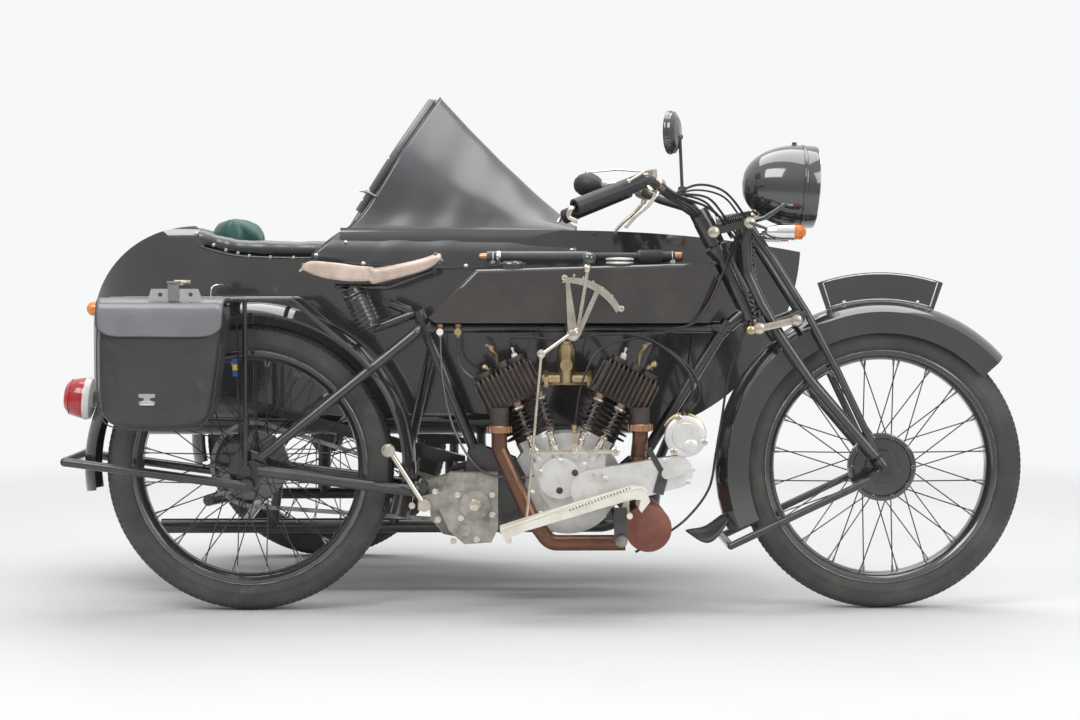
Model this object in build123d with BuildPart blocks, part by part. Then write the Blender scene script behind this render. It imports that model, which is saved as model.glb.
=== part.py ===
from build123d import *
import os
from math import cos, radians, sin, tan

os.makedirs("parts", exist_ok=True)

# A sidecar motorcycle of the 1920s, in millimetres. +X is forward and +Z is up. The sidecar is on
# the left, at +Y. Places are first given from the rear axle's ground point, on the bicycle's
# centre plane, and write() then moves each piece to the middle of the outfit.

# Overall sizes
wheelbase = 1543.0
tyre_radius = 350.0
tyre_width = 72.0
rim_radius = 279.0
rim_width = 58.0
track = 1030.0
sidecar_wheel_lead = 106.0
clearance = 0.3

# Steering head
rake = 27.0
head_x = 1183.0
head_z = 802.0
head_half_length = 98.0
head_tube_diameter = 48.0
stem_diameter = 30.0
blade_spread = 76.0
link_spread = 96.0
link_thickness = 8.0

# Frame
tube_diameter = 28.0
stay_diameter = 24.0
seat_lug_x = 425.0
seat_lug_diameter = 32.0
seat_tube_foot = (552.0, 378.0)
down_tube_top = (1149.4, 675.2)
down_tube_foot = (948.0, 352.0)
plate_inside = 30.0
plate_thickness = 6.0
stay_spread = 95.0
axle_diameter = 18.0

# Tank
tank_half_width = 72.0
tank_nose_half_width = 26.0
tank_edge_radius = 9.0
tank_rail_z = 690.0
tank_rail_diameter = 25.0

# Engine
crank_x = 770.0
crank_z = 275.0
vee_angle = 54.0
crankcase_half_width = 52.0
mouth_top = 170.0
barrel_radius = 48.0
head_foot = 266.0
head_height = 90.0
head_length = 150.0
chest_face = -104.0
chest_back = 62.0
barrel_fin_radius = 66.0
barrel_fin_pitch = 13.5
head_fins = 13
fin_thickness = 4.0
fin_depth = 11.0
port_y = -92.0

# Sidecar
body_y = 620.0
body_half_width = 285.0
body_tail_x = -496.0
body_nose_x = 1427.0
body_floor_z = 402.0
body_wall = 12.0
inner_rail_y = 310.0
outer_rail_y = 900.0
rail_z = 170.0
rail_diameter = 38.0

# Furthest points to the right and to the left
grip_end = (785.0, 345.0, 975.0)
grip_diameter = 38.0
guard_half_width = 58.0

centre_x = (body_tail_x + wheelbase + tyre_radius) / 2
centre_y = (track + guard_half_width - grip_end[1] - 20.2) / 2
to_middle = Location((-centre_x, -centre_y, 0))


def write(piece, label):
    """Move a finished piece to the outfit's own origin, label it and write it."""
    piece.part.location = to_middle
    piece.part.label = label
    export_step(piece.part, f"parts/{label}.step")


def bar(points, diameter, bend=0.0, mode=Mode.ADD):
    """Add a round bar to the open part, its straight runs joined by bends."""
    with BuildLine() as route:
        if bend:
            FilletPolyline(*points, radius=bend)
        else:
            Polyline(*points)
    with BuildSketch(Plane(route.line @ 0, z_dir=route.line % 0)) as section:
        Circle(diameter / 2)
    sweep(section.sketch, path=route.line, mode=mode)


def rod(start, end, diameter, mode=Mode.ADD):
    """Add a straight round rod to the open part."""
    way = Vector(*end) - Vector(*start)
    with BuildSketch(Plane(Vector(*start), z_dir=way)) as section:
        Circle(diameter / 2)
    extrude(section.sketch, amount=way.length, mode=mode)


def turned(points, x, y, z, along):
    """Add a turned piece: points are distance along the axis and radius."""
    aside = Vector(*along).cross(Vector(0, 0, 1))
    with BuildSketch(Plane((x, y, z), x_dir=along, z_dir=aside)) as half:
        with BuildLine():
            Polyline(*points, close=True)
        make_face()
    revolve(half.sketch, axis=Axis((x, y, z), along))


def fork_point(forward, up, y=0.0):
    """A point of the fork: forward of the steering axis and up along it."""
    x = head_x + forward * cos(radians(rake)) - up * sin(radians(rake))
    z = head_z + forward * sin(radians(rake)) + up * cos(radians(rake))
    return (x, y, z)


# Wheels. Each one is a tyre, a hub with its drum, and a rim with laced spokes.
# name, axle x, wheel y, hub half length, drum radius, side of the drum
wheels = [
    ("rear", 0.0, 0.0, 78.0, 88.0, 1),
    ("front", wheelbase, 0.0, 50.0, 84.0, -1),
    ("sidecar", sidecar_wheel_lead, track, 50.0, 46.0, -1),
]
flange_height = 6.0
rim_depth = 17.0
rim_thickness = 3.0
hub_radius = 27.0
flange_radius = 46.0
spoke_pairs = 10
spoke_width = 4.4
spoke_lean = 62.0
axle_gap = 0.6

for name, wheel_x, wheel_y, hub_half, drum_radius, drum_side in wheels:
    axle = Axis((wheel_x, wheel_y, tyre_radius), (0, 1, 0))
    across = Plane((wheel_x, wheel_y, tyre_radius), x_dir=(0, 1, 0), z_dir=(1, 0, 0))

    with BuildPart() as tyre:
        with BuildSketch(across):
            with BuildLine():
                bead = rim_width / 2 - rim_thickness - clearance
                seat = rim_radius + clearance
                wall = rim_radius + flange_height + 1
                shoulder = tyre_radius - 10
                ThreePointArc((bead, wall), (tyre_width / 2, (wall + shoulder) / 2), (25, shoulder))
                ThreePointArc((25, shoulder), (0, tyre_radius), (-25, shoulder))
                ThreePointArc((-25, shoulder), (-tyre_width / 2, (wall + shoulder) / 2), (-bead, wall))
                Polyline((-bead, wall), (-bead, seat), (bead, seat), (bead, wall))
            make_face()
        revolve(axis=axle)
    write(tyre, f"{name}_tyre")

    with BuildPart() as hub:
        with BuildSketch(across):
            with BuildLine():
                bore = axle_diameter / 2 + axle_gap
                Polyline(
                    (-hub_half, bore),
                    (-hub_half, hub_radius - 8),
                    (-hub_half + 10, hub_radius - 8),
                    (-hub_half + 10, flange_radius),
                    (-hub_half + 15, flange_radius),
                    (-hub_half + 15, hub_radius),
                    (hub_half - 15, hub_radius),
                    (hub_half - 15, flange_radius),
                    (hub_half - 10, flange_radius),
                    (hub_half - 10, hub_radius - 8),
                    (hub_half, hub_radius - 8),
                    (hub_half, bore),
                    close=True,
                )
            make_face()
        revolve(axis=axle)
        # Brake drum, or on the sidecar wheel a plain boss
        inner = drum_side * (hub_half - 30)
        outer = drum_side * (hub_half - 6)
        with BuildSketch(across):
            with BuildLine():
                Polyline(
                    (inner, hub_radius - 2),
                    (inner, drum_radius),
                    (outer, drum_radius),
                    (outer, hub_radius - 10),
                    close=True,
                )
            make_face()
        revolve(axis=axle)

    with BuildPart() as wheel:
        with BuildSketch(across):
            with BuildLine():
                edge = rim_width / 2
                Polyline(
                    (-edge, rim_radius + flange_height),
                    (-edge, rim_radius - 4),
                    (-14, rim_radius - rim_depth),
                    (14, rim_radius - rim_depth),
                    (edge, rim_radius - 4),
                    (edge, rim_radius + flange_height),
                    (edge - rim_thickness, rim_radius + flange_height),
                    (edge - rim_thickness, rim_radius),
                    (-edge + rim_thickness, rim_radius),
                    (-edge + rim_thickness, rim_radius + flange_height),
                    close=True,
                )
            make_face()
        revolve(axis=axle)
        # Spokes cross in pairs from each hub flange to the rim well
        feet = []
        for side in (-1, 1):
            for pair in range(spoke_pairs):
                turn = 360.0 * (pair + (0.5 if side > 0 else 0.0)) / spoke_pairs
                for lean in (-spoke_lean, spoke_lean):
                    low, high = radians(turn + lean), radians(turn + lean / 8)
                    reach = flange_radius - 6
                    well = rim_radius - rim_depth + 2
                    foot = Vector(
                        wheel_x + reach * cos(low),
                        wheel_y + side * (hub_half - 12.5),
                        tyre_radius + reach * sin(low),
                    )
                    nipple = Vector(
                        wheel_x + well * cos(high),
                        wheel_y + side * 6,
                        tyre_radius + well * sin(high),
                    )
                    feet.append((foot, nipple))
        spoke_length = (feet[0][1] - feet[0][0]).length
        with BuildSketch(*[Plane(foot, z_dir=nipple - foot) for foot, nipple in feet]):
            RegularPolygon(spoke_width / 2, 4)
        extrude(amount=spoke_length)
        # The rear hub is a piece of its own, so its wheel's spokes end at the flange and drum
        if name == "rear":
            with Locations(Plane((wheel_x, wheel_y, tyre_radius), z_dir=(0, 1, 0))):
                Cylinder(flange_radius + clearance, 2 * hub_half, mode=Mode.SUBTRACT)
            middle = wheel_y + (inner + outer) / 2
            with Locations(Plane((wheel_x, middle, tyre_radius), z_dir=(0, 1, 0))):
                Cylinder(drum_radius + clearance, abs(outer - inner) + clearance, mode=Mode.SUBTRACT)
        else:
            add(hub.part)
    if name == "rear":
        write(hub, "rear_hub")
    write(wheel, f"{name}_wheel")

# Frame. The head lug turns the fork's stem in its bore.
head = Plane(
    fork_point(0, 0),
    x_dir=(cos(radians(rake)), 0, sin(radians(rake))),
    z_dir=(-sin(radians(rake)), 0, cos(radians(rake))),
)
with BuildPart() as head_lug:
    with BuildSketch(head.offset(-head_half_length)):
        Circle(head_tube_diameter / 2)
    extrude(amount=2 * head_half_length)
    for height in (-head_half_length, head_half_length - 14):
        with BuildSketch(head.offset(height)):
            Circle(head_tube_diameter / 2 + 5)
        extrude(amount=14)
    rod(fork_point(-8, -76), (1168, 0, tank_rail_z + 4), 34)
    rod((1168, 0, tank_rail_z + 16), (1150, 0, 676), tube_diameter + 6)
    rod((1172, 0, tank_rail_z), (1128, 0, tank_rail_z), tank_rail_diameter + 6)
    with BuildSketch(head.offset(-head_half_length)):
        Circle(stem_diameter / 2 + axle_gap)
    extrude(amount=2 * head_half_length, mode=Mode.SUBTRACT)
    split(bisect_by=Plane((1149.7, 0, 675.6), z_dir=(208, 0, 333)), keep=Keep.TOP)
write(head_lug, "head_lug")

with BuildPart() as tank_rail:
    rod((seat_lug_x + 24, 0, tank_rail_z), (1128 - clearance, 0, tank_rail_z), tank_rail_diameter)
write(tank_rail, "tank_rail")

with BuildPart() as down_tube:
    rod((down_tube_top[0], 0, down_tube_top[1]), (down_tube_foot[0], 0, down_tube_foot[1]), tube_diameter)
    with BuildSketch(Plane.XZ.offset(-plate_inside)):
        with Locations((down_tube_foot[0] - 3, down_tube_foot[1] - 4)):
            RectangleRounded(36, 52, 8)
    extrude(amount=2 * plate_inside)
write(down_tube, "down_tube")

with BuildPart() as seat_tube:
    rod((seat_lug_x, 0, tank_rail_z), (seat_tube_foot[0], 0, seat_tube_foot[1]), tube_diameter)
    socket_end = seat_lug_x + 24 - clearance
    rod((seat_lug_x, 0, tank_rail_z), (socket_end, 0, tank_rail_z), tank_rail_diameter + 6)
    rod((seat_lug_x - 14, -24, tank_rail_z - 6), (seat_lug_x - 14, 24, tank_rail_z - 6), 32)
    rod((seat_lug_x, 0, tank_rail_z), (seat_lug_x - 16, 0, tank_rail_z + 42), seat_lug_diameter)
    with BuildSketch(Plane.XZ.offset(-plate_inside)):
        with Locations((seat_tube_foot[0] + 4, seat_tube_foot[1] + 6)):
            RectangleRounded(40, 44, 8)
    extrude(amount=2 * plate_inside)
write(seat_tube, "seat_tube")

stay_top = (seat_lug_x - 14, tank_rail_z - 6)
stay_end = (34.0, 381.0)
axle_plate = 8.0
axle_plate_outline = [(-24, 330), (-16, 372), (16, 374), (44, 362), (40, 334), (14, 300), (-12, 302)]
axle_half = stay_spread + axle_plate / 2 + 1
with BuildPart() as seat_stays:
    for side in (-1, 1):
        bar(
            [
                (stay_top[0], side * (24 + clearance), stay_top[1]),
                (stay_top[0], side * 64, stay_top[1]),
                (stay_end[0], side * stay_spread, stay_end[1]),
            ],
            stay_diameter,
            14,
        )
write(seat_stays, "seat_stays")

chain_stay_front = (409.0, 65.6, 296.3)
stand_pivot = (2.0, 315.0)
stand_inside = 116.8
with BuildPart() as chain_stays:
    for side in (-1, 1):
        bar(
            [
                (26, side * stay_spread, 349),
                (300, side * stay_spread, 312),
                (chain_stay_front[0], side * chain_stay_front[1], chain_stay_front[2]),
            ],
            stay_diameter + 4,
            60,
        )
        with BuildSketch(Plane.XZ.offset(-side * stay_spread - axle_plate / 2)):
            with BuildLine():
                Polyline(*axle_plate_outline, close=True)
            make_face()
        extrude(amount=axle_plate)
        rod(
            (stand_pivot[0], side * stay_spread, stand_pivot[1]),
            (stand_pivot[0], side * (stand_inside - clearance), stand_pivot[1]),
            20,
        )
    rod((420, -68, 303), (420, 68, 303), stay_diameter + 4)
    rod((0, -axle_half, tyre_radius), (0, axle_half, tyre_radius), axle_diameter)
write(chain_stays, "chain_stays")

# Engine plates: x and z of each outline
front_plate = [(925, 372), (958, 378), (968, 330), (922, 256), (905, 246), (872, 282), (876, 330)]
rear_plate = [
    (530, 392),
    (560, 404),
    (648, 372),
    (672, 330),
    (664, 262),
    (640, 186),
    (614, 186),
    (560, 225),
    (520, 300),
]
with BuildPart() as engine_plates:
    for side in (-1, 1):
        start = plate_inside + clearance if side > 0 else -plate_inside - clearance - plate_thickness
        for outline in (front_plate, rear_plate):
            with BuildSketch(Plane.XZ.offset(-start - plate_thickness)):
                with BuildLine():
                    Polyline(*outline, close=True)
                make_face()
            extrude(amount=plate_thickness)
    rod((628, -plate_inside - 1, 228), (628, plate_inside + 1, 228), 18)
    rod((920, -plate_inside - 1, 262), (920, plate_inside + 1, 262), 14)
write(engine_plates, "engine_plates")

# Engine
with BuildPart() as crankcase:
    with BuildSketch(Plane.XZ.offset(-crankcase_half_width)):
        with BuildLine():
            ThreePointArc((642, 350), (crank_x + 4, 436), (902, 350))
            Line((902, 350), (893, 275))
            ThreePointArc((893, 275), (crank_x, 190), (655, 275))
            Line((655, 275), (642, 350))
        make_face()
    extrude(amount=2 * crankcase_half_width)
    # Round mouths carry the barrels
    for lean in (-vee_angle / 2, vee_angle / 2):
        tilt = radians(lean)
        rod(
            (crank_x + 110 * sin(tilt), 0, crank_z + 110 * cos(tilt)),
            (crank_x + mouth_top * sin(tilt), 0, crank_z + mouth_top * cos(tilt)),
            100,
        )
    # The plates seat on lugs narrower than the case
    for side in (-1, 1):
        middle = side * (plate_inside + crankcase_half_width) / 2
        for x, width in ((890, 44), (660, 38)):
            with Locations((x, middle, 310)):
                Box(width, crankcase_half_width - plate_inside, 280, mode=Mode.SUBTRACT)
write(crankcase, "crankcase")

# Cylinders, from the crank's centre: the front one leans forward and the rear one back
with BuildPart() as cylinders:
    for lean in (-vee_angle / 2, vee_angle / 2):
        tilt = radians(lean)
        bore = Plane(
            (crank_x, 0, crank_z),
            x_dir=(cos(tilt), 0, -sin(tilt)),
            z_dir=(sin(tilt), 0, cos(tilt)),
        )
        with BuildSketch(bore.offset(mouth_top + clearance)):
            Circle(barrel_radius)
        extrude(amount=head_foot - mouth_top - clearance)
        for step in range(6):
            with BuildSketch(bore.offset(mouth_top + 14 + barrel_fin_pitch * step)):
                Circle(barrel_fin_radius)
            extrude(amount=fin_thickness)
        # The head is a core between upright fins, each one a plate across the engine
        chest_middle = (chest_face + chest_back) / 2
        chest_depth = chest_back - chest_face
        with BuildSketch(bore.offset(head_foot)):
            with Locations((0, chest_middle)):
                RectangleRounded(head_length - fin_thickness, chest_depth - 2 * fin_depth, 12)
        extrude(amount=head_height - fin_depth)
        fin_step = (head_length - fin_thickness) / (head_fins - 1)
        for fin in range(head_fins):
            across = -head_length / 2 + fin * fin_step
            crop = 9.0 if fin in (0, head_fins - 1) else 0.0
            edge = Plane(
                bore.from_local_coords((across, chest_middle, head_foot + head_height / 2)),
                x_dir=(0, 1, 0),
                z_dir=bore.x_dir,
            )
            with BuildSketch(edge):
                RectangleRounded(chest_depth - 2 * crop, head_height - 2 * crop, 15)
            extrude(amount=fin_thickness)
        # Caps over the valves, and the plug's boss between them
        for across, radius, height in ((-40, 21, 10), (8, 17, 14), (44, 21, 10)):
            with BuildSketch(bore.offset(head_foot + head_height - fin_depth)):
                with Locations((across, chest_face + 40)):
                    Circle(radius)
            extrude(amount=fin_depth + height)
    rod((607, port_y, 500), (607, port_y, 456), 46)
    rod((947, port_y, 500), (947, port_y, 460), 46)
write(cylinders, "cylinders")

# Fuel tank: side outline of x and z, then narrowed to its nose in plan
tank_bottom = tank_rail_z + tank_rail_diameter / 2 + clearance
with BuildPart() as fuel_tank:
    with BuildSketch(Plane.XZ.offset(-tank_half_width)):
        with BuildLine():
            Polyline(
                (452, tank_bottom),
                (436, 716),
                (552, 832),
                (1040, 846),
                (1112, 846),
                (1118, 836),
                (1166, 764),
                (1116, tank_bottom),
                close=True,
            )
        make_face()
    extrude(amount=2 * tank_half_width)
    long_edges = [edge for edge in fuel_tank.edges() if edge.center().Z > 740 and edge.length > 60]
    side_edges = [edge for edge in long_edges if abs(edge.center().Y) > tank_half_width - 1]
    fillet([edge for edge in side_edges if edge.center().X < 1100], radius=tank_edge_radius)
    with BuildSketch(Plane.XY.offset(tank_bottom - 10)):
        with BuildLine():
            Polyline(
                (430, -54),
                (520, -tank_half_width),
                (1050, -tank_half_width),
                (1175, -tank_nose_half_width),
                (1175, tank_nose_half_width),
                (1050, tank_half_width),
                (520, tank_half_width),
                (430, 54),
                close=True,
            )
        make_face()
    extrude(amount=180, mode=Mode.INTERSECT)
    # The steering head passes between the halves of the nose
    with BuildSketch(head.offset(-120)):
        Circle(head_tube_diameter / 2 + 8)
    extrude(amount=240, mode=Mode.SUBTRACT)
    with BuildSketch(Plane.XY.offset(tank_bottom - 1)):
        with Locations((1160, 0)):
            Rectangle(100, 40)
    extrude(amount=34, mode=Mode.SUBTRACT)
    for x, y, top in ((900, -38, 856), (640, -38, 848)):
        with BuildSketch(Plane.XY.offset(800)):
            with Locations((x, y)):
                Circle(31)
        extrude(amount=top - 800)
write(fuel_tank, "fuel_tank")

pump_y, pump_z = 10.0, 864.0
with BuildPart() as tyre_pump:
    turned(
        [
            (0, 0),
            (0, 5),
            (14, 8),
            (16, 11),
            (400, 11),
            (402, 14),
            (460, 14),
            (462, 10),
            (490, 10),
            (496, 6),
            (496, 0),
        ],
        561,
        pump_y,
        pump_z,
        (1, 0, 0),
    )
    for x, foot in ((590, 833.4), (860, 841.2)):
        with BuildSketch(Plane.XY.offset(foot)):
            with Locations((x, pump_y)):
                Rectangle(14, 10)
        extrude(amount=pump_z - foot)
write(tyre_pump, "tyre_pump")

# Valves, from the spring's top down to the tappet's foot
# x and z of the top, x and z of the foot
valves = [
    (649.1, 509.7, 690, 402),
    (702.2, 535.4, 738, 408),
    (849.7, 531.1, 800, 408),
    (901.9, 505.5, 846, 402),
]
valve_y = -85.0

# Timing chest and the long cover of the magneto chain
cover_face = -118.0
cover_back = -84.0
with BuildPart() as timing_case:
    with BuildSketch(Plane.XZ.offset(crankcase_half_width + clearance)):
        with BuildLine():
            Polyline(
                (686, 380),
                (704, 292),
                (730, 258),
                (800, 254),
                (862, 270),
                (862, 386),
                (800, 400),
                (730, 398),
                close=True,
            )
        make_face()
    extrude(amount=-cover_back - crankcase_half_width - clearance)
    with BuildSketch(Plane.XZ.offset(-cover_back)):
        with Locations((827, 302)):
            Circle(48)
        with Locations((1034, 346)):
            Circle(38.7)
        make_hull()
    extrude(amount=cover_back - cover_face)
    with BuildSketch(Plane.XZ.offset(-cover_back)):
        with Locations((752, 330)):
            Circle(50)
    extrude(amount=16)
    with BuildSketch(Plane.XZ.offset(-cover_face)):
        with Locations((827, 298)):
            Circle(17)
        with Locations((1026, 346)):
            SlotOverall(60, 26, rotation=14)
    extrude(amount=5)
    for top_x, top_z, foot_x, foot_z in valves:
        foot = Vector(foot_x, valve_y, foot_z)
        down = (foot - Vector(top_x, valve_y, top_z)).normalized()
        rod(foot + down * clearance, foot + down * 34, 22)
write(timing_case, "timing_case")

with BuildPart() as magneto:
    turned(
        [(0, 0), (0, 43), (8, 49), (30, 49), (34, 45), (60, 45), (60, 40), (96, 40), (100, 30), (100, 0)],
        1054,
        -122,
        432,
        (0, 1, 0),
    )
write(magneto, "magneto")

# Exhaust: a pipe from each port to the drum below
pipe_diameter = 38.0
silencer_x, silencer_z, silencer_diameter, silencer_half = 964.0, 211.0, 112.0, 135.0
with BuildPart() as exhaust_pipes:
    bar(
        [(607, port_y, 455.6), (607, port_y, 400), (684, -112, 236), (728, -112, 175), (909.6, -112, 175)],
        pipe_diameter,
        36,
    )
    bar([(947, port_y, 459.6), (947, port_y, 424), (945, -61, 384), (945, -61, 267.6)], pipe_diameter, 22)
write(exhaust_pipes, "exhaust_pipes")

with BuildPart() as silencer:
    turned(
        [
            (-silencer_half - 14, 0),
            (-silencer_half - 10, 30),
            (-silencer_half, silencer_diameter / 2),
            (silencer_half, silencer_diameter / 2),
            (silencer_half + 10, 30),
            (silencer_half + 14, 0),
        ],
        silencer_x,
        0,
        silencer_z,
        (0, 1, 0),
    )
write(silencer, "silencer")

# Gearbox, kick-starter and drive
gearbox_face = -78.0
gearbox_back = -plate_inside - plate_thickness - 2 * clearance
with BuildPart() as gearbox:
    with BuildSketch(Plane.XZ.offset(-plate_inside)):
        with BuildLine():
            Polyline(
                (474, 330),
                (519, 340),
                (519, 196),
                (500, 182),
                (470, 188),
                (440, 226),
                (434.3, 290),
                (434.3, 318),
                close=True,
            )
        make_face()
    extrude(amount=plate_inside - gearbox_back)
    with BuildSketch(Plane.XZ.offset(-gearbox_back)):
        with BuildLine():
            Polyline(
                (486, 342),
                (604, 342),
                (604, 206),
                (588, 172),
                (522, 168),
                (486, 200),
                (462, 252),
                (410, 250),
                (410, 282),
                (468, 296),
                close=True,
            )
        make_face()
    extrude(amount=gearbox_back - gearbox_face)
    for x, z, radius, depth in ((548, 264, 36, 14), (524, 202, 14, 8), (427, 266, 16, 18)):
        with BuildSketch(Plane.XZ.offset(-gearbox_face)):
            with Locations((x, z)):
                Circle(radius)
        extrude(amount=depth)
write(gearbox, "gearbox")

kick_y = gearbox_face - 18 - clearance
with BuildPart() as kick_starter:
    rod((427, kick_y, 266), (427, kick_y - 22, 266), 30)
    bar([(427, kick_y - 12, 266), (352, kick_y - 12, 384), (341, kick_y - 12, 399)], 13)
    rod((341, kick_y - 26, 399), (341, kick_y + 6, 399), 32)
write(kick_starter, "kick_starter")

primary_half = 16.0
primary_y = 96.0
with BuildPart() as primary_chaincase:
    with BuildSketch(Plane.XZ.offset(-primary_y - primary_half)):
        with Locations((crank_x, crank_z)):
            Circle(74)
        with Locations((540, 268)):
            Circle(88)
        make_hull()
    extrude(amount=2 * primary_half)
    with BuildSketch(Plane.XZ.offset(-primary_y + primary_half)):
        with Locations((crank_x, crank_z)):
            Circle(34)
    extrude(amount=primary_y - primary_half - crankcase_half_width - clearance)
write(primary_chaincase, "primary_chaincase")

chain_y = 68.0
chain_width = 8.0
chain_depth = 10.0
rear_sprocket, front_sprocket = 99.0, 46.0
with BuildPart() as rear_chain:
    for reach, mode in ((chain_depth, Mode.ADD), (0.0, Mode.SUBTRACT)):
        with BuildSketch(Plane.XZ.offset(-chain_y - chain_width / 2)):
            with Locations((0, tyre_radius)):
                Circle(rear_sprocket + reach)
            with Locations((434, 265)):
                Circle(front_sprocket + reach)
            make_hull()
        extrude(amount=chain_width, mode=mode)
write(rear_chain, "rear_chain")

# Footboards: side outline of x and z
board = [
    (608, 222),
    (664, 240),
    (924, 318),
    (950, 314),
    (958, 290),
    (938, 264),
    (932, 272),
    (936, 294),
    (916, 296),
    (668, 222),
    (620, 200),
]
board_inside, board_width = 152.0, 118.0
plate_face = plate_inside + plate_thickness + 2 * clearance
case_face = primary_y + primary_half + clearance
with BuildPart() as footboards:
    for side in (-1, 1):
        board_face = board_inside if side < 0 else -board_inside - board_width
        with BuildSketch(Plane.XZ.offset(board_face)):
            with BuildLine():
                Polyline(*board, close=True)
            make_face()
        extrude(amount=board_width)
        rod((628, side * (case_face if side > 0 else plate_face), 198), (628, side * 262, 198), 14)
        rod((911, side * plate_face, 255), (911, side * 262, 255), 14)
        with Locations((906, side * 200, 274)):
            Box(12, 60, 36)
write(footboards, "footboards")

# Gear lever in its quadrant on the tank's right side
lever_y = -96.0
pivot = (784, 676)
with BuildPart() as gear_lever:
    rod((pivot[0], -13, pivot[1] + 12), (pivot[0], lever_y - 8, pivot[1] + 12), 18)
    hand = [(822, 846), (796, 690), (712, 630), (706, 616)]
    bar([(x, lever_y - 8, z) for x, z in hand], 10, 8)
    rod((708, lever_y - 8, 630), (672, lever_y - 52, 236), 8)
    with BuildSketch(Plane.XZ.offset(-lever_y)):
        with BuildLine():
            Line((757, 800), (764, 812))
            ThreePointArc((764, 812), (842, 798), (900, 738))
            Line((900, 738), (888, 728))
            ThreePointArc((888, 728), (834, 782), (757, 800))
        make_face()
        with BuildLine():
            Polyline((772, 676), (766, 802), (776, 802), (796, 680), (786, 670), close=True)
        make_face()
        with BuildLine():
            Polyline((790, 676), (836, 780), (846, 774), (800, 670), close=True)
        make_face()
    extrude(amount=4)
    with Locations((822, lever_y - 8, 858)):
        Sphere(15)
write(gear_lever, "gear_lever")

# Valve gear: springs, cups and tappets down to the timing chest
with BuildPart() as valve_gear:
    for top_x, top_z, foot_x, foot_z in valves:
        along = Vector(foot_x - top_x, 0, foot_z - top_z)
        reach = along.length
        profile = [(0, 0), (0, 15)]
        for coil in range(4):
            profile += [(3 + 12 * coil, 15), (9 + 12 * coil, 12), (12 + 12 * coil, 12)]
        profile += [(56, 15), (58, 8), (reach - 26, 8), (reach - 26, 13)]
        profile += [(reach - 12, 13), (reach, 10), (reach, 0)]
        turned(profile, top_x, valve_y, top_z, tuple(along.normalized()))
write(valve_gear, "valve_gear")

# Carburettor between the cylinders, with its manifold
with BuildPart() as carburettor:
    rod((770, -20, 556), (770, -20, 640), 42)
    rod((770, -20, 630), (770, -20, 650), 34)
    rod((712, -20, 566), (828, -20, 566), 30)
    rod((770, -50, 600), (770, -20, 600), 30)
write(carburettor, "carburettor")

# Saddle on its frame
with BuildPart() as saddle:
    with BuildSketch(Plane.XZ.offset(-130)):
        with BuildLine():
            Polyline(
                (131, 822),
                (150, 850),
                (190, 856),
                (262, 842),
                (345, 846),
                (420, 862),
                (459, 872),
                (464, 858),
                (420, 826),
                (330, 800),
                (210, 806),
                close=True,
            )
        make_face()
    extrude(amount=260)
    with BuildSketch(Plane.XY.offset(780)):
        with BuildLine():
            Polyline((466, -18), (466, 18))
            Polyline((466, 18), (330, 46), (245, 112))
            ThreePointArc((245, 112), (128, 0), (245, -112))
            Polyline((245, -112), (330, -46), (466, -18))
        make_face()
    extrude(amount=120, mode=Mode.INTERSECT)
write(saddle, "saddle")

with BuildPart() as saddle_frame:
    for side in (-1, 1):
        bar([(446, side * 10, 828.5), (336, side * 34, 788.5), (212, side * 74, 792.5)], 12, 60)
        turned(
            [(0, 0), (0, 20), (14, 20), (22, 25), (86, 25), (94, 18), (106, 18), (106, 0)],
            250,
            side * 74,
            786,
            (0.42, 0, -0.9075),
        )
    rod((252, -86, 788), (252, 86, 788), 14)
    rod((298, -86, 688), (298, 86, 688), 16)
    rod((298, 0, 688), (408, 0, 728), 24)
    rod((334, -30, 752), (334, 30, 752), 20)
    rod((334, 0, 752), (408, 0, 724), 22)
    rod((446, -12, 830), (446, 12, 830), 18)
    rod(
        (seat_lug_x, 0, tank_rail_z),
        (seat_lug_x - 21, 0, tank_rail_z + 55),
        seat_lug_diameter + 2 * clearance,
        mode=Mode.SUBTRACT,
    )
write(saddle_frame, "saddle_frame")


def guard(x, y, radius, depth, half_width, start, end):
    """A domed mudguard over a wheel, from one angle round to a smaller one."""
    turn = radians(start)
    section = Plane((x, y, tyre_radius), x_dir=(0, 1, 0), z_dir=(sin(turn), 0, -cos(turn)))
    wall = 3.0
    with BuildSketch(section) as blade:
        with BuildLine():
            Line((-half_width, radius - depth), (-half_width, radius - 26))
            ThreePointArc((-half_width, radius - 26), (0, radius), (half_width, radius - 26))
            Polyline(
                (half_width, radius - 26),
                (half_width, radius - depth),
                (half_width - wall, radius - depth),
                (half_width - wall, radius - 27),
            )
            inside = half_width - wall
            ThreePointArc((inside, radius - 27), (0, radius - wall), (-inside, radius - 27))
            Polyline(
                (wall - half_width, radius - 27),
                (wall - half_width, radius - depth),
                (-half_width, radius - depth),
            )
        make_face()
    revolve(blade.sketch, axis=Axis((x, y, tyre_radius), (0, 1, 0)), revolution_arc=start - end)


# Rear mudguard, carrier and pannier
with BuildPart() as rear_mudguard:
    guard(0, 0, 404, 32, 50, 188, -18)
    rod((398, 0, 303), (405.6, 0, 303), 24)
write(rear_mudguard, "rear_mudguard")

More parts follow.
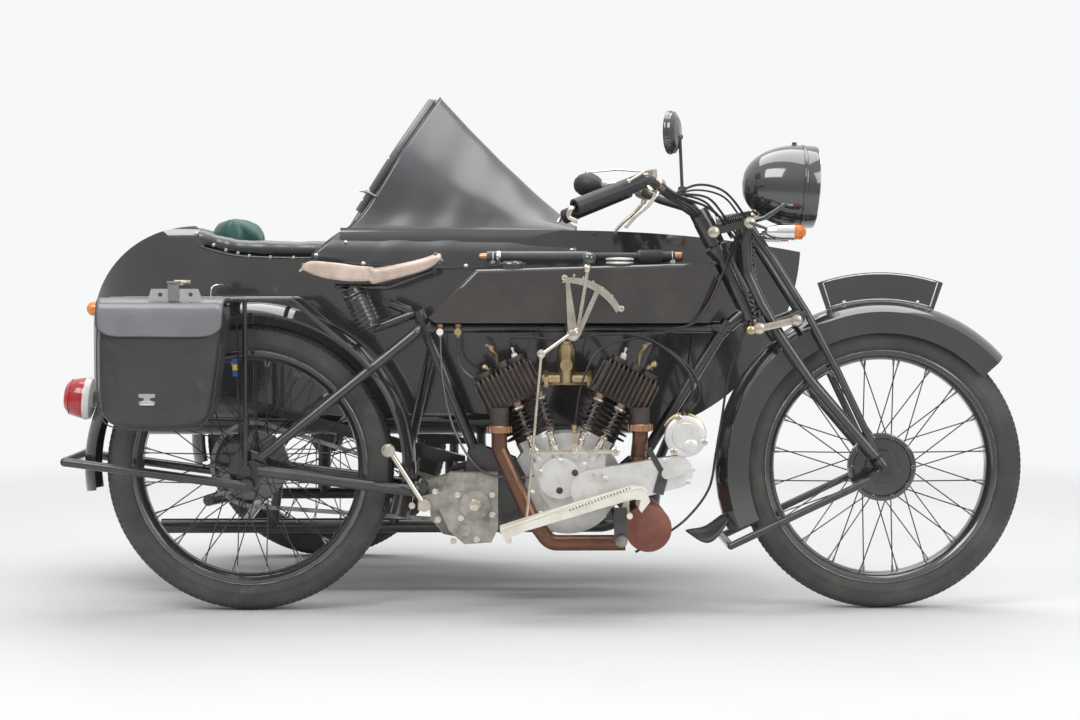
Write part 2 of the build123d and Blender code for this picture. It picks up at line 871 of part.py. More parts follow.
rack_z = 760.0
rack_y = 96.0
with BuildPart() as rear_carrier:
    for side in (-1, 1):
        bar(
            [
                (-323, side * rack_y, rack_z),
                (110, side * rack_y, rack_z),
                (278, side * rack_y, 616),
                (296, side * 92.5, 596),
            ],
            14,
            20,
        )
        rod((-1, side * (stay_spread + 16), rack_z - 4), (-1, side * (stay_spread + 16), tyre_radius), 11)
        stay_end = side * (stay_spread + 22)
        rod((-1, stay_end, tyre_radius), (-1, side * (axle_half + clearance), tyre_radius), 26)
        rod((-1, side * (stay_spread + 16), rack_z - 4), (-1, side * rack_y, rack_z), 11)
    for x in (-316, -180, -40, 96):
        rod((x, -rack_y, rack_z), (x, rack_y, rack_z), 12)
    for x in (-180, -40):
        with BuildSketch(Plane.XY.offset(rack_z + 4)):
            with Locations((x, 0)):
                Rectangle(30, 2 * rack_y)
            with Locations((x, -60), (x, 60)):
                Circle(4.5, mode=Mode.SUBTRACT)
        extrude(amount=4)
        with BuildSketch(Plane.XY.offset(rack_z - 10)):
            with Locations((x, -60), (x, 60)):
                Circle(4.5)
        extrude(amount=30, mode=Mode.SUBTRACT)
write(rear_carrier, "rear_carrier")

with BuildPart() as pannier:
    with BuildSketch(Plane.XZ.offset(rack_y + 7 + clearance)):
        with BuildLine():
            Polyline((-322, 759), (-322, 500), (-290, 460), (-90, 458), (-66, 480), (-30, 759), close=True)
        make_face()
    extrude(amount=162)
write(pannier, "pannier")

with BuildPart() as rear_lamps:
    turned([(0, 0), (0, 30), (20, 46), (52, 50), (60, 46), (60, 0)], -388, 0, 517, (-0.995, 0, 0.1))
    rod((-373.3, 0, 516), (-392, 0, 517), 24)
    turned([(0, 0), (0, 9), (12, 17), (30, 16), (36, 10), (38, 0)], -338, -rack_y, 738, (-1, 0, 0))
    rod((-345, -rack_y, 738), (-320, -rack_y, 748.4), 9)
write(rear_lamps, "rear_lamps")

# Front fork. Its points are forward of the steering axis and up along it.
upper_rear, upper_front = (0, 135), (88, 115)
lower_rear, lower_front = (-6, -122), (83, -145)
spindle_diameter = 13.0
link_outside = link_spread + link_thickness / 2
with BuildPart() as fork_links:
    with BuildSketch(head.offset(-130)):
        Circle(stem_diameter / 2)
    extrude(amount=290)
    for height, tall in ((-133, 28), (104, 64)):
        with BuildSketch(head.offset(height)):
            Circle(25)
        extrude(amount=tall)
    for rear, front in ((upper_rear, upper_front), (lower_rear, lower_front)):
        rod(fork_point(*rear, -link_outside - 6), fork_point(*rear, link_outside + 6), spindle_diameter)
        for side in (-1, 1):
            inside = side * (link_spread - link_thickness / 2)
            outside = side * link_outside
            rod(fork_point(*rear, inside), fork_point(*rear, outside), 28)
            rod(fork_point(*front, inside), fork_point(*front, outside), 28)
            along = Vector(*fork_point(*front)) - Vector(*fork_point(*rear))
            middle = Vector(*fork_point(*rear, side * link_spread)) + along / 2
            strap = Plane(middle, x_dir=along, z_dir=(0, -1, 0))
            with BuildSketch(strap.offset(-link_thickness / 2)):
                Rectangle(along.length, 18)
            extrude(amount=link_thickness)
    for side in (-1, 1):
        for front in (upper_front, lower_front):
            start = Vector(*fork_point(*front, side * (link_spread - 10)))
            with BuildSketch(Plane(start, z_dir=(0, side, 0))) as eye:
                Circle(spindle_diameter / 2 + clearance)
            extrude(eye.sketch, amount=20, mode=Mode.SUBTRACT)
write(fork_links, "fork_links")

prop_pivot = (1516.0, 330.0)
prop_inside = 94.0
prop_y = prop_inside + 9.5
with BuildPart() as girder_fork:
    for side in (-1, 1):
        y = side * blade_spread
        rear_blade = [(88, 112), (58, 70), (31, 8), (28, -75), (34, -165), (50, -290), (108, -530)]
        bar([fork_point(u, w, y) for u, w in rear_blade], 26, 40)
        front_blade = [(88, 112), (101, 16), (116, -140), (119, -300), (113, -545)]
        bar([fork_point(u, w, y) for u, w in front_blade], 18, 60)
        rod(fork_point(*upper_front, side * 62), fork_point(*upper_front, side * 90), 30)
        rod(fork_point(*lower_front, side * 62), fork_point(*lower_front, side * 90), 30)
        rod(fork_point(28, -132, y), fork_point(118, -142, y), 20)
        rod(fork_point(110, -538, y), fork_point(115.6, -566.2, y), 30)
        rod((wheelbase, side * 51, tyre_radius), (wheelbase, side * 88, tyre_radius), 34)
        rod((wheelbase, y, tyre_radius), (prop_pivot[0], y, prop_pivot[1]), 20)
        rod(
            (prop_pivot[0], side * 66, prop_pivot[1]),
            (prop_pivot[0], side * (prop_inside - clearance), prop_pivot[1]),
            20,
        )
    for front in (upper_front, lower_front):
        rod(fork_point(*front, -link_outside - 6), fork_point(*front, link_outside + 6), spindle_diameter)
    rod((wheelbase, -96, tyre_radius), (wheelbase, 96, tyre_radius), axle_diameter)
write(girder_fork, "girder_fork")

with BuildPart() as fork_springs:
    for side in (-1, 1):
        rod(fork_point(85.4, 108.4, side * 46), fork_point(-3.4, -115.4, side * 46), 22)
    rod(fork_point(28.3, 150.8), (1226, 0, 964.1), 19)
    rod((1224, 0, 963.8), (1240, 0, 966.2), 26)
write(fork_springs, "fork_springs")

bar_diameter = 25.0
with BuildPart() as handlebar:
    half = [(1098, 0, 962), (1066, 58, 990), (1014, 136, 1010), (955, 238, 1043), grip_end]
    whole = [(x, -y, z) for x, y, z in reversed(half)] + half[1:]
    bar(whole, bar_diameter, 40)
    with BuildSketch(head.offset(168 + clearance)):
        Circle(24)
    extrude(amount=28)
write(handlebar, "handlebar")

with BuildPart() as grips:
    for side in (-1, 1):
        start = Vector(940, side * 247.5, 1037.2)
        end = Vector(grip_end[0] - 6, side * (grip_end[1] + 3.8), grip_end[2] - 2.4)
        way = end - start
        with BuildSketch(Plane(start, z_dir=way)):
            Circle(grip_diameter / 2)
            Circle(bar_diameter / 2 + clearance, mode=Mode.SUBTRACT)
        extrude(amount=way.length)
write(grips, "grips")

# Levers, as points along each one's middle with y outward from the centre plane
clamp_at = (982, 192, 1028)
clamp_along = (-59, 102, 33)
squeeze_lever = [(975, 205, 1004), (955, 212, 980), (925, 220, 955), (902, 226, 930)]
right_hook = [(784.7, 345.3, 974.9), (768, 355.5, 968.2), (763, 353, 950), (785, 350, 940)]
left_hook = [(784.7, 345.3, 974.9), (768, 355.5, 968.2), (763, 354, 958.5)]
thumb_levers = [
    [(960, 210, 1060), (880, 236, 1064), (812, 258, 1056)],
    [(964, 210, 1062), (944, 262, 1058), (905, 300, 1034)],
]
with BuildPart() as control_levers:
    for side, hook in ((-1, right_hook), (1, left_hook)):
        middle = (clamp_at[0], side * clamp_at[1], clamp_at[2])
        along = (clamp_along[0], side * clamp_along[1], clamp_along[2])
        with BuildSketch(Plane(middle, z_dir=along).offset(-4)):
            Circle(bar_diameter / 2 + 6)
        extrude(amount=26)
        # The pivot under the bar, and the lever that it holds
        rod((979, side * 200, 1018), (975, side * 205, 1002), 14)
        bar([(x, side * y, z) for x, y, z in squeeze_lever], 9, 18)
        bar([(x, side * y, z) for x, y, z in hook], 12, 8)
    # Throttle and air levers turn on a post over the right collar
    rod((969, -206, 1036), (966, -208, 1066), 20)
    for lever in thumb_levers:
        bar([(x, -y, z) for x, y, z in lever], 5, 20)
        with Locations((lever[-1][0], -lever[-1][1], lever[-1][2])):
            Sphere(5.5)
    for side in (-1, 1):
        start, end = (1008, side * 146.4, 1013.4), (961, side * 227.6, 1039.6)
        rod(start, end, bar_diameter + 2 * clearance, mode=Mode.SUBTRACT)
write(control_levers, "control_levers")

with BuildPart() as front_lamps:
    bullet = [(-130, 0), (-126, 18), (-108, 44), (-80, 69), (-40, 89), (0, 96), (26, 98), (30, 92)]
    turned(
        bullet + [(40, 50), (44, 0)],
        1334,
        0,
        1036,
        (0.998, 0, -0.05),
    )
    for side in (-1, 1):
        bar([fork_point(97.5, 115, side * 50), (1250, side * 62, 958), (1300, side * 80, 992)], 12, 12)
        # The direction lamps hang from the upper spindle's ends
        turned([(0, 0), (8, 12), (30, 18), (66, 18), (80, 14), (86, 0)], 1252, side * 118, 922, (1, 0, 0))
        bar([(1209, side * 106.3, 944), (1209, side * 118, 944), (1258, side * 118, 925)], 8, 5)
write(front_lamps, "front_lamps")

with BuildPart() as mirror:
    rod((1048, -86, 1012), (1040, -100, 1158), 8)
    turned([(0, 0), (0, 50), (6, 50), (14, 36), (18, 0)], 1022, -104, 1160, (0.94, -0.34, 0))
write(mirror, "mirror")

guard_radius = 406.0
with BuildPart() as front_mudguard:
    guard(wheelbase, 0, guard_radius, 78, 52, 203, 42)
    for side in (-1, 1):
        lug_end = side * (blade_spread - 9 - clearance)
        rod(fork_point(117.2, -200, side * 51), fork_point(117.2, -200, lug_end), 10)
write(front_mudguard, "front_mudguard")

with BuildPart() as front_number_plate:
    with BuildSketch(Plane.XZ.offset(-2)):
        with BuildLine():
            low, high = guard_radius + clearance, guard_radius + 70
            a, b = radians(109), radians(71)
            ThreePointArc(
                (wheelbase + low * cos(a), tyre_radius + low * sin(a)),
                (wheelbase, tyre_radius + low),
                (wheelbase + low * cos(b), tyre_radius + low * sin(b)),
            )
            Line(
                (wheelbase + low * cos(b), tyre_radius + low * sin(b)),
                (wheelbase + high * cos(b), tyre_radius + high * sin(b)),
            )
            ThreePointArc(
                (wheelbase + high * cos(b), tyre_radius + high * sin(b)),
                (wheelbase, tyre_radius + high),
                (wheelbase + high * cos(a), tyre_radius + high * sin(a)),
            )
            Line(
                (wheelbase + high * cos(a), tyre_radius + high * sin(a)),
                (wheelbase + low * cos(a), tyre_radius + low * sin(a)),
            )
        make_face()
    extrude(amount=4)
write(front_number_plate, "front_number_plate")

# Stands, raised: leg angle from the pivot, then the foot across
with BuildPart() as rear_stand:
    for side in (-1, 1):
        rod((stand_pivot[0], side * 128, stand_pivot[1]), (-432, side * 128, 374), 22)
        start = (stand_pivot[0], side * stand_inside, stand_pivot[1])
        rod(start, (stand_pivot[0], side * 136, stand_pivot[1]), 34)
    rod((-428, -128, 373), (-428, 128, 373), 22)
write(rear_stand, "rear_stand")

with BuildPart() as front_stand:
    for side in (-1, 1):
        rod((prop_pivot[0], side * prop_y, prop_pivot[1]), (1164, side * prop_y, 164), 18)
        start = (prop_pivot[0], side * prop_inside, prop_pivot[1])
        rod(start, (prop_pivot[0], side * (prop_y + 8), prop_pivot[1]), 30)
    rod((1166, -prop_y, 165), (1166, prop_y, 165), 18)
write(front_stand, "front_stand")

# Sidecar body: the side view, the plan and the cross-section cut one another
cockpit_rear, cockpit_front, cockpit_half = -196.0, 700.0, 226.0
seat_top = 530.0

# Padded coaming: its line along each side, and the deck's cut that it lies in
coaming_half = 268.0
coaming_diameter = 44.0
coaming_line = [(195, 889.0), (60, 889.0), (-60, 893.0), (-205, 928.0)]


def hull(inset):
    """The body's solid shape, with its outlines drawn in by the inset."""
    floor, tail, nose = body_floor_z + inset, body_tail_x + inset, body_nose_x - inset
    half = body_half_width - inset
    with BuildPart() as shape:
        with BuildSketch(Plane.XZ.offset(-body_y - body_half_width)):
            with BuildLine():
                ThreePointArc((-180, 948 - inset), (-402 + 0.8 * inset, 852 - 0.7 * inset), (tail, 610))
                ThreePointArc((tail, 610), (-452 + 0.8 * inset, 470 + 0.6 * inset), (-330, floor))
                Line((-330, floor), (960, floor))
                ThreePointArc((960, floor), (1270 - 0.7 * inset, 545 + 0.7 * inset), (nose, 884 - inset))
                ThreePointArc((nose, 884 - inset), (1130, 922 - inset), (820, 937 - inset))
                Line((820, 937 - inset), (-180, 948 - inset))
            make_face()
        extrude(amount=2 * body_half_width)
        with BuildSketch(Plane.XY.offset(body_floor_z - 10)):
            with BuildLine():
                for side in (-1, 1):
                    wide = body_y + side * half
                    stern = (-400 + 0.6 * inset, body_y + side * (205 - 0.8 * inset))
                    bow = (1060, body_y + side * (225 - inset))
                    ThreePointArc((tail, body_y), stern, (-130, wide))
                    Line((-130, wide), (600, wide))
                    ThreePointArc((600, wide), bow, (nose, body_y + side * (66 - inset)))
                Line((nose, body_y - 66 + inset), (nose, body_y + 66 - inset))
            make_face()
        extrude(amount=600, mode=Mode.INTERSECT)
        with BuildSketch(Plane.YZ.offset(body_tail_x - 10)):
            with Locations((body_y, body_floor_z + 285)):
                RectangleRounded(2 * half - 1, 570 - 2 * inset, 60 - inset)
        extrude(amount=2000, mode=Mode.INTERSECT)
    return shape.part


def scoop():
    """The deck's cut under the coaming: its side view and its plan cut one another."""
    rear, front = coaming_line[-1][0] - 24, coaming_line[0][0]
    below = coaming_diameter / 2 + clearance
    with BuildPart() as shape:
        with BuildSketch(Plane.XZ.offset(-body_y - body_half_width - 5)):
            with BuildLine():
                low = [(x, z - below) for x, z in coaming_line]
                last = (rear, low[-1][1])
                Polyline((front, 980), *low, last, (rear, 980), close=True)
            make_face()
        extrude(amount=2 * body_half_width + 10)
        with BuildSketch(Plane.XY.offset(body_floor_z + 300)):
            with Locations(((rear + 900) / 2, body_y)):
                RectangleRounded(900 - rear, 2 * body_half_width + 14, 113)
        extrude(amount=300, mode=Mode.INTERSECT)
    return shape.part


outer_hull = hull(0)
deck_cut = scoop()
inner_hull = hull(body_wall)
with BuildPart() as sidecar_body:
    add(outer_hull)
    add(inner_hull, mode=Mode.SUBTRACT)
    with BuildSketch(Plane.XY.offset(body_floor_z + 300)):
        with Locations(((cockpit_rear + cockpit_front) / 2, body_y)):
            RectangleRounded(cockpit_front - cockpit_rear, 2 * cockpit_half, 150)
    extrude(amount=300, mode=Mode.SUBTRACT)
    add(deck_cut, mode=Mode.SUBTRACT)
    with BuildSketch(Plane.XY.offset(body_floor_z + body_wall - 1)):
        with Locations((50, body_y)):
            Rectangle(470, 400)
    extrude(amount=seat_top - body_floor_z - body_wall + 1)
write(sidecar_body, "sidecar_body")

# Sidecar chassis: two rails, tubes across, struts to the motorcycle and leaf springs
near_side = body_y - body_half_width + 0.5
far_side = body_y + body_half_width - 0.5
spring_y = (near_side - 18, far_side + 18)
outer_rail_z = 196.0
wheel_upright_y = 936.0
inner_rail_route = [
    (-268, inner_rail_y, rail_z),
    (880, inner_rail_y, rail_z),
    (1000, 252, 216),
    (1004, 130, 322),
    (950, 84, 352),
    (950, plate_face, 352),
]
rail_bend = 50.0
with BuildPart() as sidecar_inner_rail:
    bar(inner_rail_route, rail_diameter, rail_bend)
    rod((480, spring_y[0], rail_z), (480, spring_y[0], 336), 26)
write(sidecar_inner_rail, "sidecar_inner_rail")

outer_rail_diameter = 32.0
with BuildPart() as sidecar_outer_rail:
    bar(
        [
            (-200, 700, outer_rail_z),
            (-120, outer_rail_y, outer_rail_z),
            (600, outer_rail_y, outer_rail_z),
            (700, 760, outer_rail_z),
        ],
        outer_rail_diameter,
        60,
    )
    rod((480, outer_rail_y + 12, outer_rail_z), (480, outer_rail_y + 12, 336), 26)
    lead = sidecar_wheel_lead
    rod((lead, outer_rail_y, outer_rail_z), (lead, wheel_upright_y, tyre_radius), 36)
    rod((lead, wheel_upright_y - 20, tyre_radius), (lead, track - 51, tyre_radius), 40)
    rod((lead, wheel_upright_y, tyre_radius), (lead, track + 56, tyre_radius), axle_diameter)
write(sidecar_outer_rail, "sidecar_outer_rail")

cross_tube_x = (-60, 560)
with BuildPart() as sidecar_cross_tubes:
    for x in cross_tube_x:
        rod((x, inner_rail_y, rail_z), (x, outer_rail_y, outer_rail_z), 30)
    for y in (470, 770):
        rod((cross_tube_x[1], y, 176), (cross_tube_x[1], y, body_floor_z - clearance), 24)
    bar(inner_rail_route[:2], rail_diameter + 2 * clearance, mode=Mode.SUBTRACT)
    rod(
        (-120, outer_rail_y, outer_rail_z),
        (600, outer_rail_y, outer_rail_z),
        outer_rail_diameter + 2 * clearance,
        mode=Mode.SUBTRACT,
    )
write(sidecar_cross_tubes, "sidecar_cross_tubes")

# Struts from the motorcycle's frame, mitred to the tubes that they meet
with BuildPart() as sidecar_struts:
    rod((444, 0, 643), (330, inner_rail_y, rail_z), 24)
    rod((1098, 0, 594), (962, 268, 205), 24)
    rod((62, stay_spread, 344), (20, inner_rail_y, rail_z), 26)
    bar(inner_rail_route, rail_diameter + 2 * clearance, rail_bend, mode=Mode.SUBTRACT)
    gap = 2 * clearance
    rod(
        (seat_lug_x, 0, tank_rail_z),
        (seat_tube_foot[0], 0, seat_tube_foot[1]),
        tube_diameter + gap,
        mode=Mode.SUBTRACT,
    )
    rod(
        (down_tube_top[0], 0, down_tube_top[1]),
        (down_tube_foot[0], 0, down_tube_foot[1]),
        tube_diameter + gap,
        mode=Mode.SUBTRACT,
    )
    rod((26, stay_spread, 349), (300, stay_spread, 312), stay_diameter + 4 + gap, mode=Mode.SUBTRACT)
write(sidecar_struts, "sidecar_struts")

with BuildPart() as sidecar_springs:
    for y in spring_y:
        with BuildSketch(Plane.XZ.offset(-y - 17)):
            with BuildLine():
                Polyline(
                    (-104, 510),
                    (166, 444),
                    (520, 350),
                    (520, 336.4),
                    (440, 336.4),
                    (330, 366),
                    (150, 420),
                    (-104, 494),
                    close=True,
                )
            make_face()
        extrude(amount=34)
write(sidecar_springs, "sidecar_springs")

with BuildPart() as sidecar_mudguard:
    guard(sidecar_wheel_lead, track, 396, 30, guard_half_width, 192, 0)
    for x, z in ((-89, 667), (295, 670.5)):
        rod((x, far_side + clearance, z), (x, track - guard_half_width + 3, z), 12)
write(sidecar_mudguard, "sidecar_mudguard")

# Inside the body, and what covers it
with BuildPart() as sidecar_cushion:
    with BuildSketch(Plane.XY.offset(seat_top + clearance)):
        with Locations((60, body_y)):
            RectangleRounded(440, 400, 40)
    extrude(amount=88)
write(sidecar_cushion, "sidecar_cushion")

with BuildPart() as sidecar_squab:
    with BuildSketch(Plane.XZ.offset(-body_y - 170)):
        with BuildLine():
            Polyline((-140, 619), (-50, 619), (-66, 940), (-96, 984), (-140, 978), (-148, 900), close=True)
        make_face()
    extrude(amount=340)
write(sidecar_squab, "sidecar_squab")

with BuildPart() as sidecar_coaming:
    near_half = [(x, -coaming_half, z) for x, z in coaming_line]
    far_half = [(x, coaming_half, z) for x, z in reversed(coaming_line)]
    rim = near_half + far_half
    bar([(x, body_y + y, z) for x, y, z in rim], coaming_diameter, 90)
write(sidecar_coaming, "sidecar_coaming")

screen_foot_x, screen_foot_z, screen_lean = 226.0, 948.7, 32.0
screen = Plane(
    (screen_foot_x, body_y, screen_foot_z),
    x_dir=(0, 1, 0),
    z_dir=(cos(radians(screen_lean)), 0, -sin(radians(screen_lean))),
)
with BuildPart() as sidecar_windscreen:
    with BuildLine(screen) as hoop:
        FilletPolyline((-238, 0), (-222, 220), (-96, 398), (96, 398), (222, 220), (238, 0), radius=60)
    with BuildSketch(Plane(hoop.line @ 0, z_dir=hoop.line % 0)) as ring:
        Circle(9)
    sweep(ring.sketch, path=hoop.line)
write(sidecar_windscreen, "sidecar_windscreen")

# Apron: from the screen forward and down to the deck, open below
screen_edge = [(-256, 8), (-240, 224), (-104, 418), (104, 418), (240, 224), (256, 8)]
screen_edge_inside = [(-246, -30), (-231, 219), (-99, 409), (99, 409), (231, 219), (246, -30)]
deck_edge = [(-236, 937.4), (-190, 946.4), (-80, 949.4), (80, 949.4), (190, 946.4), (236, 937.4)]
deck_edge_inside = [(-228, 906), (-182, 937.4), (-76, 940.4), (76, 940.4), (182, 937.4), (228, 906)]
with BuildPart() as sidecar_apron:
    for rear, front, start, end, mode in (
        (screen_edge, deck_edge, 12, 826, Mode.ADD),
        (screen_edge_inside, deck_edge_inside, 2, 812, Mode.SUBTRACT),
    ):
        with BuildSketch(screen.offset(start)):
            with BuildLine():
                Polyline(*rear, close=True)
            make_face()
        with BuildSketch(Plane.YZ.offset(end)):
            with BuildLine():
                Polyline(*[(body_y + y, z) for y, z in front], close=True)
            make_face()
        loft(ruled=True, mode=mode)
write(sidecar_apron, "sidecar_apron")
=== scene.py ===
import math
import random

import bmesh
import bpy
import numpy as np
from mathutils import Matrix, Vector


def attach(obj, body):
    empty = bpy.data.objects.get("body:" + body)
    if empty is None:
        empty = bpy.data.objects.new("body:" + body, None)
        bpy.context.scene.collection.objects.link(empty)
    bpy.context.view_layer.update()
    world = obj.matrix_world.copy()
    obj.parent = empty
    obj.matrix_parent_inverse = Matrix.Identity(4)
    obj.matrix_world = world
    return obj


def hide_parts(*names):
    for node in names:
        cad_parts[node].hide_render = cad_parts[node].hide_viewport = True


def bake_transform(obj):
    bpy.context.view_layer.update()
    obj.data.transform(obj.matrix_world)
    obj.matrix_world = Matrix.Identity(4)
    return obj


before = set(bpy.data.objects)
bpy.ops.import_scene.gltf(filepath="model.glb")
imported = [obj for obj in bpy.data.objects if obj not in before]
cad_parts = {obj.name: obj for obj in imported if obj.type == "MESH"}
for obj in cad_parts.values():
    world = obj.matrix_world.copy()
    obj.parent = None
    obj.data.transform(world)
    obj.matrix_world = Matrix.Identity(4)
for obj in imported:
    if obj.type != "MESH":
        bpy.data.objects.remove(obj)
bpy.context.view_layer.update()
random.seed(7)

# The part's own source gives places in millimetres from the ground below the rear axle
CENTRE_X, CENTRE_Y = 698.5, 361.4  # the frame's origin in those places
WHEELBASE, TYRE_RADIUS = 1543.0, 350.0
TRACK, SIDECAR_LEAD = 1030.0, 106.0
RAKE, HEAD_X, HEAD_Z = math.radians(27.0), 1183.0, 802.0
BODY_Y, BODY_HALF = 620.0, 285.0  # the sidecar body's middle and half its width
TANK_TOP = 846.0
LIFTER_Z = 394.0
PLATE_INNER, PLATE_OUTER = 410.0, 472.5  # the front number plate's arcs about the front axle
AHEAD, ACROSS, UP = Vector((1, 0, 0)), Vector((0, 1, 0)), Vector((0, 0, 1))
NEAR, DOWN = Vector((0, -1, 0)), Vector((0, 0, -1))  # NEAR points to the camera's side


def at(x, y, z):
    """A place of the part's source, in the frame's metres."""
    return Vector(((x - CENTRE_X) / 1000, (y - CENTRE_Y) / 1000, z / 1000))


def fork_at(forward, up, y=0.0):
    """A place of the fork: forward of the steering axis and up along it."""
    x = HEAD_X + forward * math.cos(RAKE) - up * math.sin(RAKE)
    z = HEAD_Z + forward * math.sin(RAKE) + up * math.cos(RAKE)
    return at(x, y, z)


# Materials
def node(tree, kind, inputs=None, **values):
    """Add a node, set its properties and its plain inputs."""
    made = tree.nodes.new(kind)
    for key, value in values.items():
        setattr(made, key, value)
    for key, value in (inputs or {}).items():
        made.inputs[key].default_value = value
    return made


def rgba(colour):
    """A colour with its alpha."""
    return (colour[0], colour[1], colour[2], 1.0)


def surface(
    name,
    base,
    second=None,
    rough=(0.3, 0.4),
    metallic=0.0,
    patches=(6.0, 0.5),
    grain=(90.0, 0.1, 0.001),
    fine=None,
    dirt=None,
    coat=0.0,
    coat_rough=0.05,
    sheen=0.0,
    specular=0.5,
    ior=1.5,
    stretch=(1, 1, 1),
):
    """A procedural surface: base colour worn towards a second one in patches, with grain and dirt.

    patches is scale and share, grain is scale, strength and distance, dirt is colour and share.
    """
    material = bpy.data.materials.new(name)
    material.use_nodes = True
    tree = material.node_tree
    links = tree.links
    shader = tree.nodes["Principled BSDF"]
    shader.inputs["Metallic"].default_value = metallic
    shader.inputs["Coat Weight"].default_value = coat
    shader.inputs["Coat Roughness"].default_value = coat_rough
    shader.inputs["Sheen Weight"].default_value = sheen
    shader.inputs["Sheen Roughness"].default_value = 0.45
    shader.inputs["Specular IOR Level"].default_value = specular
    shader.inputs["IOR"].default_value = ior

    place = node(tree, "ShaderNodeTexCoord")
    mapping = node(tree, "ShaderNodeMapping", {"Scale": stretch})
    links.new(place.outputs["Object"], mapping.inputs["Vector"])
    where = mapping.outputs["Vector"]

    broad = node(tree, "ShaderNodeTexNoise", {"Scale": patches[0], "Detail": 6.0, "Roughness": 0.62})
    links.new(where, broad.inputs["Vector"])
    share = node(tree, "ShaderNodeMapRange", {"From Min": 0.62 - 0.4 * patches[1], "From Max": 0.75})
    links.new(broad.outputs["Fac"], share.inputs["Value"])
    mix = node(tree, "ShaderNodeMix", data_type="RGBA")
    mix.inputs["A"].default_value = rgba(base)
    mix.inputs["B"].default_value = rgba(second or [c * 0.8 for c in base])
    links.new(share.outputs["Result"], mix.inputs["Factor"])
    colour = mix.outputs["Result"]

    speckle = node(tree, "ShaderNodeTexNoise", {"Scale": grain[0], "Detail": 4.0, "Roughness": 0.6})
    links.new(where, speckle.inputs["Vector"])
    if dirt:
        corner = node(tree, "ShaderNodeTexNoise", {"Scale": 14.0, "Detail": 8.0, "Roughness": 0.7})
        links.new(where, corner.inputs["Vector"])
        cut = node(tree, "ShaderNodeMapRange", {"From Min": 0.66 - 0.3 * dirt[1], "From Max": 0.78})
        links.new(corner.outputs["Fac"], cut.inputs["Value"])
        soil = node(tree, "ShaderNodeMix", data_type="RGBA")
        soil.inputs["B"].default_value = rgba(dirt[0])
        links.new(colour, soil.inputs["A"])
        links.new(cut.outputs["Result"], soil.inputs["Factor"])
        colour = soil.outputs["Result"]
    links.new(colour, shader.inputs["Base Color"])

    shine = node(tree, "ShaderNodeMapRange", {"To Min": rough[0], "To Max": rough[1]})
    links.new(speckle.outputs["Fac"], shine.inputs["Value"])
    links.new(shine.outputs["Result"], shader.inputs["Roughness"])

    height = speckle.outputs["Fac"]
    if fine:
        cells = node(tree, "ShaderNodeTexVoronoi", {"Scale": fine[0], "Randomness": 0.9})
        cells.feature = "DISTANCE_TO_EDGE"
        links.new(where, cells.inputs["Vector"])
        blend = node(tree, "ShaderNodeMix", {"Factor": fine[1]}, data_type="FLOAT")
        links.new(height, blend.inputs["A"])
        links.new(cells.outputs["Distance"], blend.inputs["B"])
        height = blend.outputs["Result"]
    bump = node(tree, "ShaderNodeBump", {"Strength": grain[1], "Distance": grain[2]})
    links.new(height, bump.inputs["Height"])
    links.new(bump.outputs["Normal"], shader.inputs["Normal"])
    return material


black = surface("gloss-black", (0.03, 0.03, 0.031), (0.046, 0.044, 0.042), rough=(0.07, 0.15),
                patches=(5.0, 0.5), grain=(35.0, 0.02, 0.001), coat=1.0, coat_rough=0.03, ior=1.7)
frame_black = surface("frame-black", (0.022, 0.022, 0.023), (0.05, 0.044, 0.038), rough=(0.2, 0.4),
                      patches=(16.0, 0.35), grain=(120.0, 0.06, 0.0006), coat=0.6, coat_rough=0.1, ior=1.6,
                      dirt=((0.07, 0.055, 0.04), 0.2))
tank_black = surface("tank-black", (0.036, 0.031, 0.028), (0.058, 0.048, 0.042), rough=(0.1, 0.22),
                     patches=(9.0, 0.5), grain=(30.0, 0.03, 0.001), coat=1.0, coat_rough=0.04, ior=1.6)
tyre_rubber = surface("tyre-rubber", (0.055, 0.053, 0.052), (0.1, 0.096, 0.09), rough=(0.5, 0.75),
                      patches=(9.0, 0.6), grain=(260.0, 0.25, 0.0006), dirt=((0.12, 0.11, 0.095), 0.25),
                      specular=0.35)
grip_rubber = surface("grip-rubber", (0.022, 0.022, 0.023), (0.04, 0.04, 0.042), rough=(0.35, 0.55),
                      patches=(20.0, 0.5), grain=(300.0, 0.2, 0.0005))
nickel = surface("worn-nickel", (0.74, 0.69, 0.6), (0.5, 0.43, 0.33), rough=(0.12, 0.34), metallic=1.0,
                 patches=(26.0, 0.5), grain=(160.0, 0.08, 0.0004), dirt=((0.2, 0.15, 0.1), 0.15))
brass = surface("aged-brass", (0.56, 0.45, 0.26), (0.36, 0.28, 0.15), rough=(0.22, 0.45), metallic=1.0,
                patches=(30.0, 0.5), grain=(180.0, 0.1, 0.0004), dirt=((0.12, 0.08, 0.05), 0.2))
chrome = surface("bright-plate", (0.82, 0.82, 0.8), (0.68, 0.67, 0.64), rough=(0.06, 0.16), metallic=1.0,
                 patches=(24.0, 0.3), grain=(140.0, 0.03, 0.0003))
aluminium = surface("cast-aluminium", (0.78, 0.77, 0.75), (0.6, 0.585, 0.56), rough=(0.3, 0.52), metallic=0.6,
                    patches=(22.0, 0.5), grain=(420.0, 0.3, 0.0005), dirt=((0.3, 0.25, 0.2), 0.2))
gearbox_metal = surface("oily-aluminium", (0.46, 0.44, 0.4), (0.24, 0.22, 0.19), rough=(0.3, 0.6), metallic=0.7,
                        patches=(26.0, 0.7), grain=(380.0, 0.35, 0.0006), dirt=((0.07, 0.05, 0.035), 0.55))
iron = surface("barrel-iron", (0.055, 0.05, 0.047), (0.12, 0.09, 0.075), rough=(0.42, 0.66), metallic=0.45,
               patches=(18.0, 0.55), grain=(300.0, 0.4, 0.0006), dirt=((0.2, 0.08, 0.05), 0.3))
